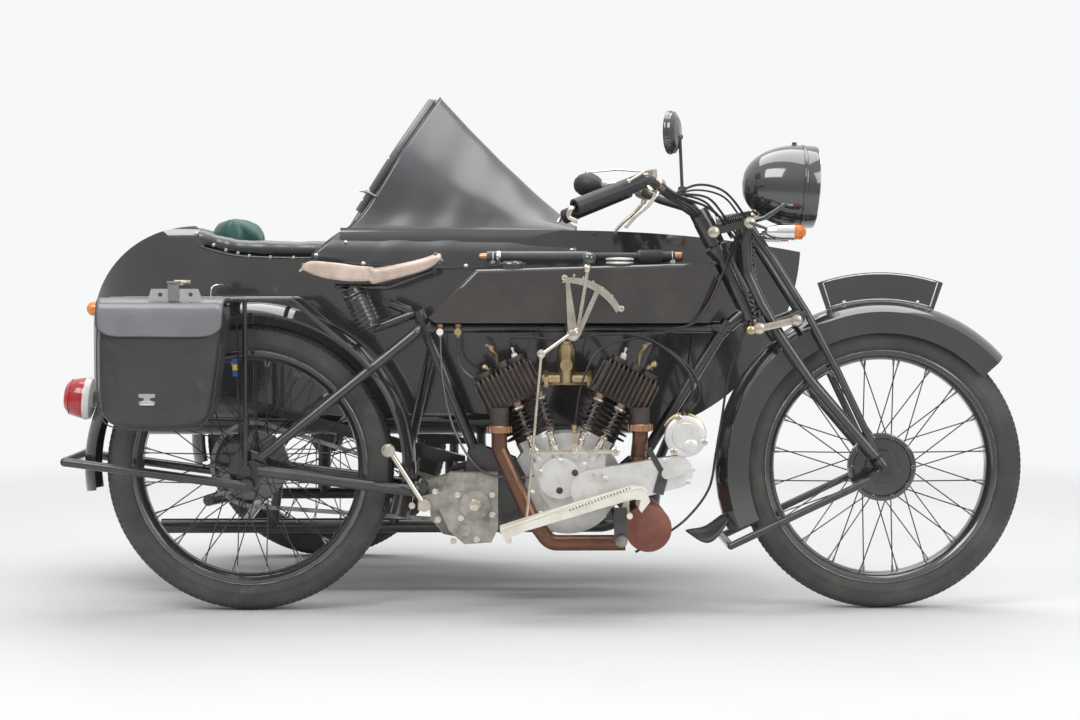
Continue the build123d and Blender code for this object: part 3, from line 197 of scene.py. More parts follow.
copper_pipe = surface("browned-pipe", (0.13, 0.07, 0.052), (0.26, 0.13, 0.08), rough=(0.22, 0.5), metallic=0.8,
                      patches=(7.0, 0.8), grain=(120.0, 0.15, 0.0005), dirt=((0.05, 0.04, 0.04), 0.45))
copper = surface("copper-nut", (0.5, 0.29, 0.18), (0.28, 0.17, 0.11), rough=(0.25, 0.5), metallic=1.0,
                 patches=(30.0, 0.6), grain=(160.0, 0.12, 0.0004))
silencer_red = surface("silencer-red", (0.2, 0.06, 0.045), (0.34, 0.15, 0.11), rough=(0.5, 0.75), metallic=0.1,
                       patches=(14.0, 0.7), grain=(200.0, 0.4, 0.0008), dirt=((0.06, 0.035, 0.03), 0.5))
cream = surface("cream-board", (0.8, 0.77, 0.68), (0.62, 0.57, 0.47), rough=(0.4, 0.6), patches=(16.0, 0.4),
                grain=(180.0, 0.12, 0.0006), dirt=((0.2, 0.15, 0.1), 0.12))
steel = surface("oiled-steel", (0.34, 0.32, 0.29), (0.14, 0.11, 0.09), rough=(0.28, 0.5), metallic=1.0,
                patches=(40.0, 0.6), grain=(240.0, 0.15, 0.0004), dirt=((0.05, 0.035, 0.025), 0.4))
# The saddle's pale base colour is partly the worn leather's own colour and partly painted sheen: the leather's
# bright highlights are painted into the hide.
saddle_hide_and_painted_sheen = surface("saddle-hide-and-painted-sheen", (0.7, 0.58, 0.5), (0.4, 0.26, 0.19), rough=(0.26, 0.45),
                      patches=(11.0, 0.55), grain=(220.0, 0.3, 0.0008), fine=(520.0, 0.35),
                      dirt=((0.16, 0.09, 0.07), 0.3), specular=0.7)
black_hide = surface("black-leathercloth", (0.03, 0.032, 0.036), (0.045, 0.048, 0.053), rough=(0.26, 0.4),
                     patches=(8.0, 0.5), grain=(260.0, 0.1, 0.0005), fine=(620.0, 0.4), ior=1.75, coat=0.5,
                     coat_rough=0.3)
grey_hide = surface("flap-leather", (0.17, 0.175, 0.182), (0.24, 0.245, 0.255), rough=(0.24, 0.38),
                    patches=(7.0, 0.5), grain=(240.0, 0.1, 0.0005), fine=(560.0, 0.4), ior=1.7)
pannier_hide = surface("pannier-leather", (0.034, 0.034, 0.037), (0.048, 0.048, 0.052), rough=(0.34, 0.5),
                       patches=(9.0, 0.5), grain=(240.0, 0.16, 0.0006), fine=(560.0, 0.5), ior=1.6)
green_hide = surface("green-leather", (0.03, 0.1, 0.082), (0.05, 0.14, 0.12), rough=(0.28, 0.45),
                     patches=(10.0, 0.6), grain=(240.0, 0.18, 0.0007), fine=(540.0, 0.45), specular=0.6)
porcelain = surface("white-insulator", (0.82, 0.8, 0.76), (0.7, 0.67, 0.6), rough=(0.12, 0.2),
                    patches=(40.0, 0.4), grain=(200.0, 0.02, 0.0002))
red_lens = surface("red-lens", (0.5, 0.012, 0.016), (0.36, 0.01, 0.012), rough=(0.08, 0.16),
                   patches=(18.0, 0.5), grain=(220.0, 0.25, 0.001), coat=0.8, coat_rough=0.03)
amber_lens = surface("amber-lens", (0.85, 0.26, 0.03), (0.7, 0.16, 0.02), rough=(0.08, 0.16),
                     patches=(18.0, 0.5), grain=(260.0, 0.25, 0.001), coat=0.8, coat_rough=0.03)
white_paint = surface("white-paint", (0.8, 0.8, 0.78), (0.7, 0.69, 0.66), rough=(0.2, 0.34),
                      patches=(20.0, 0.4), grain=(160.0, 0.05, 0.0004), coat=0.3)
lamp_glass = surface("lamp-glass", (0.72, 0.74, 0.74), (0.6, 0.62, 0.62), rough=(0.05, 0.1),
                     patches=(10.0, 0.4), grain=(120.0, 0.1, 0.0006), coat=1.0, coat_rough=0.02)

spoke_black = surface("spoke-black", (0.02, 0.02, 0.02), (0.07, 0.055, 0.045), rough=(0.25, 0.45), metallic=0.3,
                      patches=(60.0, 0.4), grain=(300.0, 0.1, 0.0003), coat=0.3)
rod_brown = surface("rod-brown", (0.2, 0.13, 0.1), (0.34, 0.27, 0.22), rough=(0.3, 0.5), metallic=0.7,
                    patches=(40.0, 0.6), grain=(240.0, 0.15, 0.0004))
ribbon_blue = surface("ribbon-blue", (0.02, 0.1, 0.42), (0.03, 0.14, 0.5), rough=(0.5, 0.7),
                      patches=(30.0, 0.5), grain=(500.0, 0.2, 0.0003))
ribbon_yellow = surface("ribbon-yellow", (0.8, 0.6, 0.05), (0.7, 0.5, 0.05), rough=(0.5, 0.7),
                        patches=(30.0, 0.5), grain=(500.0, 0.2, 0.0003))
pump_grey = surface("pump-grey", (0.05, 0.053, 0.06), (0.09, 0.09, 0.095), rough=(0.22, 0.4),
                    patches=(20.0, 0.5), grain=(200.0, 0.08, 0.0004), coat=0.3)
cable_black = surface("cable-black", (0.013, 0.013, 0.013), (0.03, 0.03, 0.03), rough=(0.3, 0.5),
                      patches=(40.0, 0.5), grain=(400.0, 0.2, 0.0004))


# Mesh tools
def finish_piece(name, mesh, material, body, smooth=True):
    """Make a mesh an object with one material, riding on a body."""
    if smooth:
        for face in mesh.polygons:
            face.use_smooth = True
    piece = bpy.data.objects.new(name, mesh)
    bpy.context.scene.collection.objects.link(piece)
    for each in material if isinstance(material, (list, tuple)) else [material]:
        mesh.materials.append(each)
    if body:
        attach(piece, body)
    return piece


class Builder:
    """Collects points and faces of one piece, each face with a material number."""

    def __init__(self):
        self.points = []
        self.faces = []
        self.slots = []

    def add(self, points, faces, slot=0):
        """Add points and the faces between them, with the number of their material."""
        base = len(self.points)
        self.points.extend(tuple(p) for p in points)
        for face in faces:
            self.faces.append(tuple(base + k for k in face))
            self.slots.append(slot)

    def revolve(self, origin, along, profile, sides=24, slot=0):
        """Turn a profile of (distance, radius) in millimetres about an axis."""
        along = Vector(along).normalized()
        aside = along.orthogonal().normalized()
        third = along.cross(aside)
        points = []
        for k in range(sides):
            turn = math.tau * k / sides
            way = aside * math.cos(turn) + third * math.sin(turn)
            for distance, radius in profile:
                points.append(origin + along * (distance / 1000) + way * (radius / 1000))
        rows = len(profile)
        faces = []
        for k in range(sides):
            nxt = (k + 1) % sides
            for r in range(rows - 1):
                faces.append((k * rows + r, nxt * rows + r, nxt * rows + r + 1, k * rows + r + 1))
        self.add(points, faces, slot)

    def tube(self, route, radius, sides=10, slot=0, closed=False, ends=True):
        """A round tube in millimetres radius along points in metres."""
        route = [Vector(p) for p in route]
        count = len(route)
        radii = radius if isinstance(radius, (list, tuple)) else [radius] * count
        tangents = []
        for k in range(count):
            before = route[k - 1] if k > 0 or closed else route[k]
            after = route[(k + 1) % count] if k < count - 1 or closed else route[k]
            tangents.append((after - before).normalized())
        normal = tangents[0].orthogonal().normalized()
        points = []
        for k in range(count):
            normal = (normal - tangents[k] * normal.dot(tangents[k])).normalized()
            third = tangents[k].cross(normal)
            for s in range(sides):
                turn = math.tau * s / sides
                offset = normal * math.cos(turn) + third * math.sin(turn)
                points.append(route[k] + offset * (radii[k] / 1000))
        faces = []
        for k in range(count if closed else count - 1):
            nxt = (k + 1) % count
            for s in range(sides):
                t = (s + 1) % sides
                faces.append((k * sides + s, k * sides + t, nxt * sides + t, nxt * sides + s))
        if ends and not closed:
            faces.append(tuple(reversed(range(sides))))
            faces.append(tuple((count - 1) * sides + s for s in range(sides)))
        self.add(points, faces, slot)

    def block(self, centre, size, axes=None, slot=0, bevel=0.0):
        """A box with chamfered edges: centre in metres, size in millimetres."""
        axes = axes or (AHEAD, ACROSS, UP)
        half = [s / 2000 for s in size]
        cut = min(bevel / 1000, min(half) * 0.9)
        if cut <= 0:
            corners = [(i, j, k) for i in (-1, 1) for j in (-1, 1) for k in (-1, 1)]
            points = [centre + axes[0] * half[0] * i + axes[1] * half[1] * j + axes[2] * half[2] * k
                      for i, j, k in corners]
            faces = [(0, 1, 3, 2), (4, 6, 7, 5), (0, 4, 5, 1), (2, 3, 7, 6), (0, 2, 6, 4), (1, 5, 7, 3)]
            self.add(points, faces, slot)
            return
        shape = bmesh.new()
        bmesh.ops.create_cube(shape, size=2.0)
        for v in shape.verts:
            v.co = Vector((v.co[0] * half[0], v.co[1] * half[1], v.co[2] * half[2]))
        bmesh.ops.bevel(shape, geom=shape.edges[:], offset=cut, segments=2, affect="EDGES", profile=0.6)
        shape.verts.index_update()
        points = [centre + axes[0] * v.co[0] + axes[1] * v.co[1] + axes[2] * v.co[2] for v in shape.verts]
        self.add(points, [[v.index for v in f.verts] for f in shape.faces], slot)
        shape.free()

    def nut(self, origin, along, across=17.0, height=8.0, slot=0, dome=True, washer=True):
        """A hexagon nut on its washer, with a domed end."""
        along = Vector(along).normalized()
        outer = across / math.sqrt(3)
        level = 0.0
        if washer:
            self.revolve(origin, along, [(0, 0.3 * across), (0, 0.72 * across), (1.6, 0.72 * across), (1.6, 0)],
                         16, slot)
            level = 1.6
        chamfer = 0.14 * across
        hexagon = [(level, outer), (level + height - chamfer * 0.4, outer), (level + height, outer - chamfer)]
        self.revolve(origin, along, hexagon + [(level + height, 0.32 * across)], 6, slot)
        if dome:
            tip = [(level + height - 1, 0.32 * across), (level + height + 2.5, 0.3 * across),
                   (level + height + 4, 0)]
            self.revolve(origin, along, tip, 12, slot)

    def ball(self, centre, radius, slot=0, sides=16):
        """A ball of a radius in millimetres."""
        profile = [(radius * math.sin(a), radius * math.cos(a))
                   for a in [math.radians(-90 + 180 * k / 10) for k in range(11)]]
        self.revolve(centre, UP, profile, sides, slot)

    def helix(self, start, end, radius, wire, turns, slot=0, sides=7, steps=16, closed_turns=1.0):
        """A coil spring whose end turns lie close together."""
        start, end = Vector(start), Vector(end)
        along = (end - start).normalized()
        length = (end - start).length
        aside = along.orthogonal().normalized()
        third = along.cross(aside)
        route = []
        total = int(turns * steps)
        flat = closed_turns / turns
        for k in range(total + 1):
            t = k / total
            if t < flat:
                rise = t / flat * (wire * 2 / 1000) * closed_turns / 2 / length
            elif t > 1 - flat:
                rise = 1 - (1 - t) / flat * (wire * 2 / 1000) * closed_turns / 2 / length
            else:
                edge = (wire * 2 / 1000) * closed_turns / 2 / length
                rise = edge + (t - flat) / (1 - 2 * flat) * (1 - 2 * edge)
            turn = math.tau * turns * t
            offset = aside * math.cos(turn) + third * math.sin(turn)
            route.append(start + along * length * rise + offset * (radius / 1000))
        self.tube(route, wire, sides, slot)

    def make(self, name, material, body, smooth=True, sharp=35.0):
        """Make the piece, with edges that bend more than an angle kept sharp."""
        mesh = bpy.data.meshes.new(name)
        mesh.from_pydata(self.points, [], self.faces)
        mesh.polygons.foreach_set("material_index", self.slots)
        shape = bmesh.new()
        shape.from_mesh(mesh)
        bmesh.ops.remove_doubles(shape, verts=shape.verts, dist=1e-6)
        bmesh.ops.recalc_face_normals(shape, faces=shape.faces)
        limit = math.radians(sharp)
        for edge in shape.edges:
            if len(edge.link_faces) == 2 and edge.calc_face_angle(0.0) > limit:
                edge.smooth = False
        shape.to_mesh(mesh)
        shape.free()
        return finish_piece(name, mesh, material, body, smooth)


def curve(points, steps=12):
    """A smooth line through points, as a Catmull-Rom curve."""
    points = [Vector(p) for p in points]
    full = [2 * points[0] - points[1]] + points + [2 * points[-1] - points[-2]]
    line = []
    for k in range(1, len(full) - 2):
        a, b, c, d = full[k - 1], full[k], full[k + 1], full[k + 2]
        for s in range(steps):
            t = s / steps
            line.append(0.5 * ((2 * b) + (c - a) * t + (2 * a - 5 * b + 4 * c - d) * t * t
                               + (3 * b - a - 3 * c + d) * t * t * t))
    line.append(points[-1])
    return line


def arc_points(start, step, count):
    """Angles in radians from a first one in degrees, by steps in degrees."""
    return [math.radians(start + step * k) for k in range(count)]


def tilted(x, z):
    """Axes for a block that is turned about the line across the machine."""
    return Vector((x, 0, z)), ACROSS, Vector((-z, 0, x))


def grid_faces(rows, columns, first=0):
    """The faces of a sheet whose points lie in rows of columns + 1."""
    wide = columns + 1
    return [(first + r * wide + c, first + r * wide + c + 1, first + (r + 1) * wide + c + 1,
             first + (r + 1) * wide + c) for r in range(rows) for c in range(columns)]


def ring_faces(rings, count):
    """The faces between rings of count points each."""
    return [(r * count + k, r * count + (k + 1) % count, (r + 1) * count + (k + 1) % count, (r + 1) * count + k)
            for r in range(rings - 1) for k in range(count)]


def slab(build, face, back, slot):
    """A flat plate between two copies of one outline."""
    number = len(face)
    faces = [tuple(reversed(range(number))), tuple(range(number, 2 * number))]
    faces += [(k, (k + 1) % number, number + (k + 1) % number, number + k) for k in range(number)]
    build.add(face + back, faces, slot)


# Camera, light and stage
scene = bpy.context.scene
camera = bpy.data.objects.new("camera", bpy.data.cameras.new("camera"))
scene.collection.objects.link(camera)
camera.location = (-0.1089, -5.5114, 0.7973)
camera.rotation_euler = (math.radians(90 - 2.07), 0, math.radians(-1.3075))
camera.data.sensor_width = 36.0
camera.data.lens = 2103.0 / 1080.0 * 36.0
scene.camera = camera

scene.view_settings.view_transform = "Standard"


def area_light(name, place, target, size, power, colour=(1, 1, 1)):
    """A soft lamp of a size in metres at a place, turned to its target."""
    lamp = bpy.data.lights.new(name, "AREA")
    lamp.shape = "RECTANGLE"
    lamp.size, lamp.size_y = size
    lamp.energy = power
    lamp.color = colour
    stand = bpy.data.objects.new(name, lamp)
    scene.collection.objects.link(stand)
    stand.location = place
    stand.rotation_euler = (Vector(target) - Vector(place)).to_track_quat("-Z", "Y").to_euler()
    return stand


area_light("key-light", (-2.6, -3.8, 4.4), (0, 0, 0.4), (3.4, 2.6), 150.0, (1.0, 0.985, 0.96))
area_light("fill-light", (3.6, -3.6, 2.8), (0.2, 0, 0.5), (2.8, 2.4), 75.0, (0.95, 0.98, 1.0))
area_light("top-light", (0.2, 0.4, 4.6), (0, 0.1, 0), (5.0, 3.4), 150.0)
back_light = area_light("back-light", (0.2, 2.9, 3.9), (0, 0.4, 0.6), (4.6, 1.4), 60.0)
back_light.visible_glossy = False

world = bpy.data.worlds.new("studio")
scene.world = world
world.use_nodes = True
sky = world.node_tree
for old in list(sky.nodes):
    sky.nodes.remove(old)
# The object is lit by a plain sky. The camera and glass see a pale one, and gloss one that is darker low down.
out = node(sky, "ShaderNodeOutputWorld")
seen = node(sky, "ShaderNodeBackground", {"Color": (0.93, 0.935, 0.94, 1), "Strength": 1.0})
lit = node(sky, "ShaderNodeBackground", {"Color": (0.92, 0.95, 1.0, 1), "Strength": 0.42})
mirrored = node(sky, "ShaderNodeBackground", {"Strength": 1.0})
aim = node(sky, "ShaderNodeTexCoord")
parts = node(sky, "ShaderNodeSeparateXYZ")
shade = node(sky, "ShaderNodeValToRGB")
for spot, (height, grey) in enumerate(((0.0, 0.5), (0.12, 0.56), (0.45, 0.85), (0.8, 0.97))):
    stop = shade.color_ramp.elements[spot] if spot < 2 else shade.color_ramp.elements.new(height)
    stop.position = height
    stop.color = (grey, grey, grey * 1.01, 1)
rays = node(sky, "ShaderNodeLightPath")
direct = node(sky, "ShaderNodeMath", operation="MAXIMUM")
shown = node(sky, "ShaderNodeMath", operation="MAXIMUM")
glossy = node(sky, "ShaderNodeMixShader")
choose = node(sky, "ShaderNodeMixShader")
for source, target in (
    (aim.outputs["Generated"], parts.inputs[0]),
    (parts.outputs["Z"], shade.inputs[0]),
    (shade.outputs[0], mirrored.inputs["Color"]),
    (rays.outputs["Is Camera Ray"], direct.inputs[0]),
    (rays.outputs["Is Transmission Ray"], direct.inputs[1]),
    (direct.outputs[0], shown.inputs[0]),
    (rays.outputs["Is Glossy Ray"], shown.inputs[1]),
    (rays.outputs["Is Glossy Ray"], glossy.inputs[0]),
    (seen.outputs[0], glossy.inputs[1]),
    (mirrored.outputs[0], glossy.inputs[2]),
    (shown.outputs[0], choose.inputs[0]),
    (lit.outputs[0], choose.inputs[1]),
    (glossy.outputs[0], choose.inputs[2]),
    (choose.outputs[0], out.inputs["Surface"]),
):
    sky.links.new(source, target)

floor_finish = surface("studio-floor", (0.72, 0.72, 0.71), (0.7, 0.7, 0.69), rough=(0.55, 0.7),
                       patches=(1.5, 0.4), grain=(60.0, 0.02, 0.001))
# The floor fades into the world's pale colour, so that it has no wall and no edge in any view
tree = floor_finish.node_tree
spread = node(tree, "ShaderNodeVectorMath", operation="LENGTH")
fade = node(tree, "ShaderNodeMapRange", {"From Min": 2.2, "From Max": 4.6}, interpolation_type="SMOOTHSTEP")
clear = node(tree, "ShaderNodeBsdfTransparent")
either = node(tree, "ShaderNodeMixShader")
for source, target in (
    (tree.nodes["Texture Coordinate"].outputs["Object"], spread.inputs[0]),
    (spread.outputs["Value"], fade.inputs["Value"]),
    (fade.outputs["Result"], either.inputs[0]),
    (tree.nodes["Principled BSDF"].outputs[0], either.inputs[1]),
    (clear.outputs[0], either.inputs[2]),
    (either.outputs[0], tree.nodes["Material Output"].inputs["Surface"]),
):
    tree.links.new(source, target)
floor = Builder()
floor_radius, floor_sides = 5, 96
floor_turns = [math.tau * k / floor_sides for k in range(floor_sides)]
floor.add([(floor_radius * math.cos(a), floor_radius * math.sin(a), 0) for a in floor_turns],
          [tuple(range(floor_sides))])
floor_piece = floor.make("studio-floor-sheet", floor_finish, None, sharp=60)


# Materials on the carried-over nodes
def soften(name, width, segments=2, angle=30.0):
    """Round a CAD node's edges with a bevel modifier, its mesh untouched."""
    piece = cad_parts[name]
    bevel = piece.modifiers.new("edge", "BEVEL")
    bevel.width = width / 1000
    bevel.segments = segments
    bevel.limit_method = "ANGLE"
    bevel.angle_limit = math.radians(angle)
    bevel.use_clamp_overlap = True


def dress(material, *names):
    """Give carried-over CAD nodes a material."""
    for name in names:
        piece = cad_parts[name]
        piece.data.materials.clear()
        piece.data.materials.append(material)


dress(frame_black, "head_lug", "tank_rail", "down_tube", "seat_tube", "seat_stays", "chain_stays", "engine_plates",
      "rear_stand", "front_stand", "rear_carrier", "saddle_frame", "girder_fork", "fork_links",
      "sidecar_inner_rail", "sidecar_outer_rail", "sidecar_cross_tubes", "sidecar_struts", "sidecar_springs",
      "primary_chaincase")
dress(black, "rear_mudguard", "front_mudguard", "sidecar_mudguard", "sidecar_body", "front_number_plate",
      "mirror", "front_lamps", "rear_lamps", "sidecar_windscreen")
dress(tank_black, "fuel_tank", "tyre_pump")
dress(aluminium, "timing_case", "crankcase", "magneto")
dress(gearbox_metal, "gearbox")
dress(iron, "cylinders")
dress(copper_pipe, "exhaust_pipes")
dress(silencer_red, "silencer")
dress(nickel, "gear_lever", "kick_starter", "valve_gear", "control_levers")
dress(brass, "carburettor")
dress(frame_black, "handlebar")
dress(grip_rubber, "grips")
dress(cream, "footboards")
dress(steel, "rear_chain")
for name in ("timing_case", "crankcase", "gearbox", "magneto", "footboards", "engine_plates"):
    soften(name, 2.0, 2)
soften("fuel_tank", 5.0, 3)


# Wheels
def tyre_section():
    """Columns of the tyre's outside from bead to bead: offset, radius and rib number."""
    wall = [(25.7, 286), (29.5, 289), (32.6, 294), (33.4, 295), (34.3, 299), (35.4, 303), (36.2, 304),
            (36.4, 308), (35.9, 309), (35.9, 316), (35.2, 323), (33.6, 330), (31.2, 335), (29.6, 337)]
    columns = [(w, r, -1) for w, r in wall]
    ribs = [(28.0, 19.5), (17.6, 8.6), (6.8, -6.8), (-8.6, -17.6), (-19.5, -28.0)]
    for number, (first, last) in enumerate(ribs):
        for t in (0.0, 0.35, 0.65, 1.0):
            w = first + (last - first) * t
            columns.append((w, 350 - 10.5 * (w / 26) ** 2, number))
        if number < 4:
            for w in (last - 0.3, ribs[number + 1][0] + 0.3):
                columns.append((w, 350 - 10.5 * (w / 26) ** 2 - 3.0, 9))
    columns += [(-w, r, -1) for w, r in reversed(wall)]
    return columns


def make_tyre(name, x, y, body):
    """A tyre with rows of tread blocks, ribbed walls and bare sides."""
    columns = tyre_section()
    steps = 432
    shift = {0: 0, 1: 1, 2: 2, 3: 1, 4: 0}
    points = []
    for k in range(steps):
        turn = math.tau * k / steps
        for w, r, rib in columns:
            groove = rib in shift and (k + shift[rib]) % 3 == 0
            if groove:
                r -= 3.2 if rib in (0, 4) else 2.2
            points.append(at(x + r * math.cos(turn), y + w, TYRE_RADIUS + r * math.sin(turn)))
    rows = len(columns)
    faces = []
    for k in range(steps):
        nxt = (k + 1) % steps
        faces += [(k * rows + c, nxt * rows + c, nxt * rows + c + 1, k * rows + c + 1) for c in range(rows - 1)]
    build = Builder()
    build.add(points, faces)
    piece = build.make(f"{name}-tyre-treaded", tyre_rubber, body, sharp=28)
    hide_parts(f"{name}_tyre")
    return piece


def make_wheel(name, x, y, hub_half, drum, drum_side, body):
    """Rim, laced round spokes with nipples, hub, drum and nuts."""
    centre = at(x, y, TYRE_RADIUS)
    across = ACROSS
    build = Builder()
    rim = [(-26, 279.4), (-26, 285.4), (-27, 286.4), (-28.4, 286.2), (-29, 285), (-29, 276), (-26.5, 272.5),
           (-15, 262.6), (-12, 262), (12, 262), (15, 262.6), (26.5, 272.5), (29, 276), (29, 285),
           (28.4, 286.2), (27, 286.4), (26, 285.4), (26, 279.4), (-26, 279.4)]
    build.revolve(centre, across, rim, 144, 0)
    # A thin steel ring over each rim lip is a painted highlight along the rim's edge.
    for side in (-1, 1):
        line = [(side * 29.05, 284.4), (side * 29.4, 285.4), (side * 28.6, 286.6), (side * 27.8, 286.8)]
        build.revolve(centre, across, line, 144, 1)
    reach, well = 40.0, 264.0
    for side in (-1, 1):
        for pair in range(10):
            turn = 36.0 * (pair + (0.5 if side > 0 else 0.0))
            for lean in (-62.0, 62.0):
                low, high = math.radians(turn + lean), math.radians(turn + lean / 8)
                off = 1.6 if lean > 0 else -1.6
                foot = at(x + reach * math.cos(low), y + side * (hub_half - 12.5) + off,
                          TYRE_RADIUS + reach * math.sin(low))
                tip = at(x + well * math.cos(high), y + side * 6, TYRE_RADIUS + well * math.sin(high))
                way = (foot - tip).normalized()
                build.tube([foot, tip], 1.55, 7, 2)
                build.tube([tip, tip + way * 0.004, tip + way * 0.015, tip + way * 0.017], [3.2, 3.0, 2.4, 1.6],
                           8, 1)
    flange = 46.0
    hub = [(-hub_half, 10.2), (-hub_half, 18), (-hub_half + 9, 19.5), (-hub_half + 10, 45),
           (-hub_half + 11, flange), (-hub_half + 14, flange), (-hub_half + 15.4, 44), (-hub_half + 17,
            29), (-hub_half + 26, 25), (hub_half - 26, 25), (hub_half - 17, 29), (hub_half - 15.4,
            44), (hub_half - 14, flange), (hub_half - 11, flange), (hub_half - 10, 45), (hub_half - 9,
            19.5), (hub_half, 18), (hub_half, 10.2)]
    build.revolve(centre, across, hub, 48, 0)
    inner, outer = drum_side * (hub_half - 30), drum_side * (hub_half - 6)
    step = drum_side
    shell = [(inner, 24), (inner, drum - 6), (inner + 2 * step, drum - 1), (inner + 5 * step, drum - 1),
             (inner + 6.5 * step, drum - 3.5), (inner + 9 * step, drum - 3.5), (inner + 10.5 * step,
            drum - 1), (inner + 14 * step, drum - 1), (inner + 15.5 * step, drum - 3.5), (inner + 18 * step,
            drum - 3.5), (inner + 19.5 * step, drum - 1), (outer - 2 * step,
                                                           drum - 1), (outer, drum - 5), (outer - 1 * step,
            drum - 12), (outer - 4 * step, drum - 15), (outer - 4 * step,
                                                        drum * 0.52), (outer, drum * 0.48), (outer, 17)]
    build.revolve(centre, across, shell, 72, 0)
    for k in range(10):
        turn = math.tau * k / 10
        radius = drum - 9 if drum > 60 else drum - 7
        spot = at(x + radius * math.cos(turn), y + outer - 1 * step, TYRE_RADIUS + radius * math.sin(turn))
        build.nut(spot, across * step, 9, 4, 1, dome=False, washer=False)
    piece = build.make(f"{name}-wheel-laced", [black, steel, spoke_black], body)
    nodes = [f"{name}_wheel"] + (["rear_hub"] if name == "rear" else [])
    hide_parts(*nodes)
    return piece


for wheel_name, wheel_x, wheel_y, hub_half, drum, drum_side in (
    ("rear", 0.0, 0.0, 78.0, 88.0, 1),
    ("front", WHEELBASE, 0.0, 50.0, 84.0, -1),
    ("sidecar", SIDECAR_LEAD, TRACK, 50.0, 46.0, -1),
):
    wheel_body = f"{wheel_name}_wheel_body"
    make_tyre(wheel_name, wheel_x, wheel_y, wheel_body)
    make_wheel(wheel_name, wheel_x, wheel_y, hub_half, drum, drum_side, wheel_body)


# Soft goods
def plump(piece, voxel=0.005, pressure=4.0, cap=0.012, frames=20, smooth=1):
    """Swell a closed soft piece with cloth under pressure, and cap how far a point moves."""
    remesh = piece.modifiers.new("remesh", "REMESH")
    remesh.mode = "VOXEL"
    remesh.voxel_size = voxel
    bake(piece)
    start = np.empty(len(piece.data.vertices) * 3)
    piece.data.vertices.foreach_get("co", start)
    cloth = piece.modifiers.new("cloth", "CLOTH")
    cloth.settings.use_pressure = True
    cloth.settings.uniform_pressure_force = pressure
    cloth.settings.effector_weights.gravity = 0.0
    cloth.settings.quality = 5
    cloth.settings.tension_stiffness = 15
    cloth.settings.compression_stiffness = 15
    cloth.settings.bending_stiffness = 0.6
    scene.frame_start, scene.frame_end = 1, frames
    for step in range(1, frames + 1):
        scene.frame_set(step)
    bake(piece)
    scene.frame_set(1)
    end = np.empty_like(start)
    piece.data.vertices.foreach_get("co", end)
    move = (end - start).reshape(-1, 3)
    size = np.linalg.norm(move, axis=1, keepdims=True)
    move *= np.minimum(1.0, cap / np.maximum(size, 1e-9))
    piece.data.vertices.foreach_set("co", (start.reshape(-1, 3) + move).ravel())
    piece.data.update()
    for face in piece.data.polygons:
        face.use_smooth = True
    if smooth:
        soft = piece.modifiers.new("subdivision", "SUBSURF")
        soft.levels = soft.render_levels = 1
        bake(piece)


def bake(piece):
    """Put the result of a piece's modifiers into its mesh."""
    depth = bpy.context.evaluated_depsgraph_get()
    depth.update()
    mesh = bpy.data.meshes.new_from_object(piece.evaluated_get(depth))
    materials = list(piece.data.materials)
    piece.modifiers.clear()
    piece.data = mesh
    mesh.materials.clear()
    for each in materials:
        mesh.materials.append(each)
    for face in mesh.polygons:
        face.use_smooth = True


def thicken(piece, thickness, offset):
    """Give a sheet its thickness in metres."""
    thick = piece.modifiers.new("thickness", "SOLIDIFY")
    thick.thickness = thickness
    thick.offset = offset
    bake(piece)


def soft_noise(x, y, z, scale, seed=0.0):
    """A smooth wave field for creases, from a few sines."""
    a = math.sin(x * scale + 1.7 * seed) * math.cos(y * scale * 1.3 + seed)
    b = math.sin((x + 0.6 * z) * scale * 2.1 + 2.3 * seed) * math.cos((y - z) * scale * 1.7 + 0.7 * seed)
    return 0.65 * a + 0.35 * b


def make_coaming():
    """The stuffed roll round the cockpit's rear and sides, with its row of studs in nickel."""
    line = [(195, 889.0), (60, 889.0), (-60, 893.0), (-120, 904), (-168, 919)]
    near = [at(x, BODY_Y - BODY_HALF + 17, z) for x, z in line]
    corner = [at(-196, BODY_Y - 246, 926), at(-206, BODY_Y - 190, 928)]
    rear = [at(-206, BODY_Y - 90, 929), at(-206, BODY_Y, 929), at(-206, BODY_Y + 90, 929)]
    far = [Vector((p[0], 2 * (BODY_Y - CENTRE_Y) / 1000 - p[1], p[2])) for p in reversed(near + corner)]
    route = curve(near + corner + rear + far, 10)
    build = Builder()
    radii = [20.0 + 0.9 * math.sin(k * 0.55) + 0.6 * math.sin(k * 1.3 + 1) for k in range(len(route))]
    radii[0], radii[-1] = 8.0, 8.0
    build.tube(route, radii, 20)
    piece = build.make("coaming-roll", black_hide, "frame")
    plump(piece, 0.005, 4.0, 0.0045)
    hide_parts("sidecar_coaming")
    studs = Builder()
    spots = [(-177, 928), (-133, 899), (-101, 886), (-70, 878), (-41, 871), (14, 868), (74, 867), (128, 867)]
    for x, z in spots:
        for side in (-1, 1):
            place = at(x, BODY_Y + side * 286.5, z - 1)
            out_way = Vector((0, side, 0))
            studs.revolve(place, out_way, [(-2, 5.2), (0.6, 5.2), (2.6, 3.6), (3.4, 0)], 14)
    studs.make("coaming-studs", nickel, "frame")
    welt = Builder()
    for side in (-1, 1):
        edge = [at(x, BODY_Y + side * 286.0, z - 23.5) for x, z in line]
        welt.tube(curve(edge, 8), 2.6, 8)
    welt.make("coaming-welt", black_hide, "frame")


make_coaming()


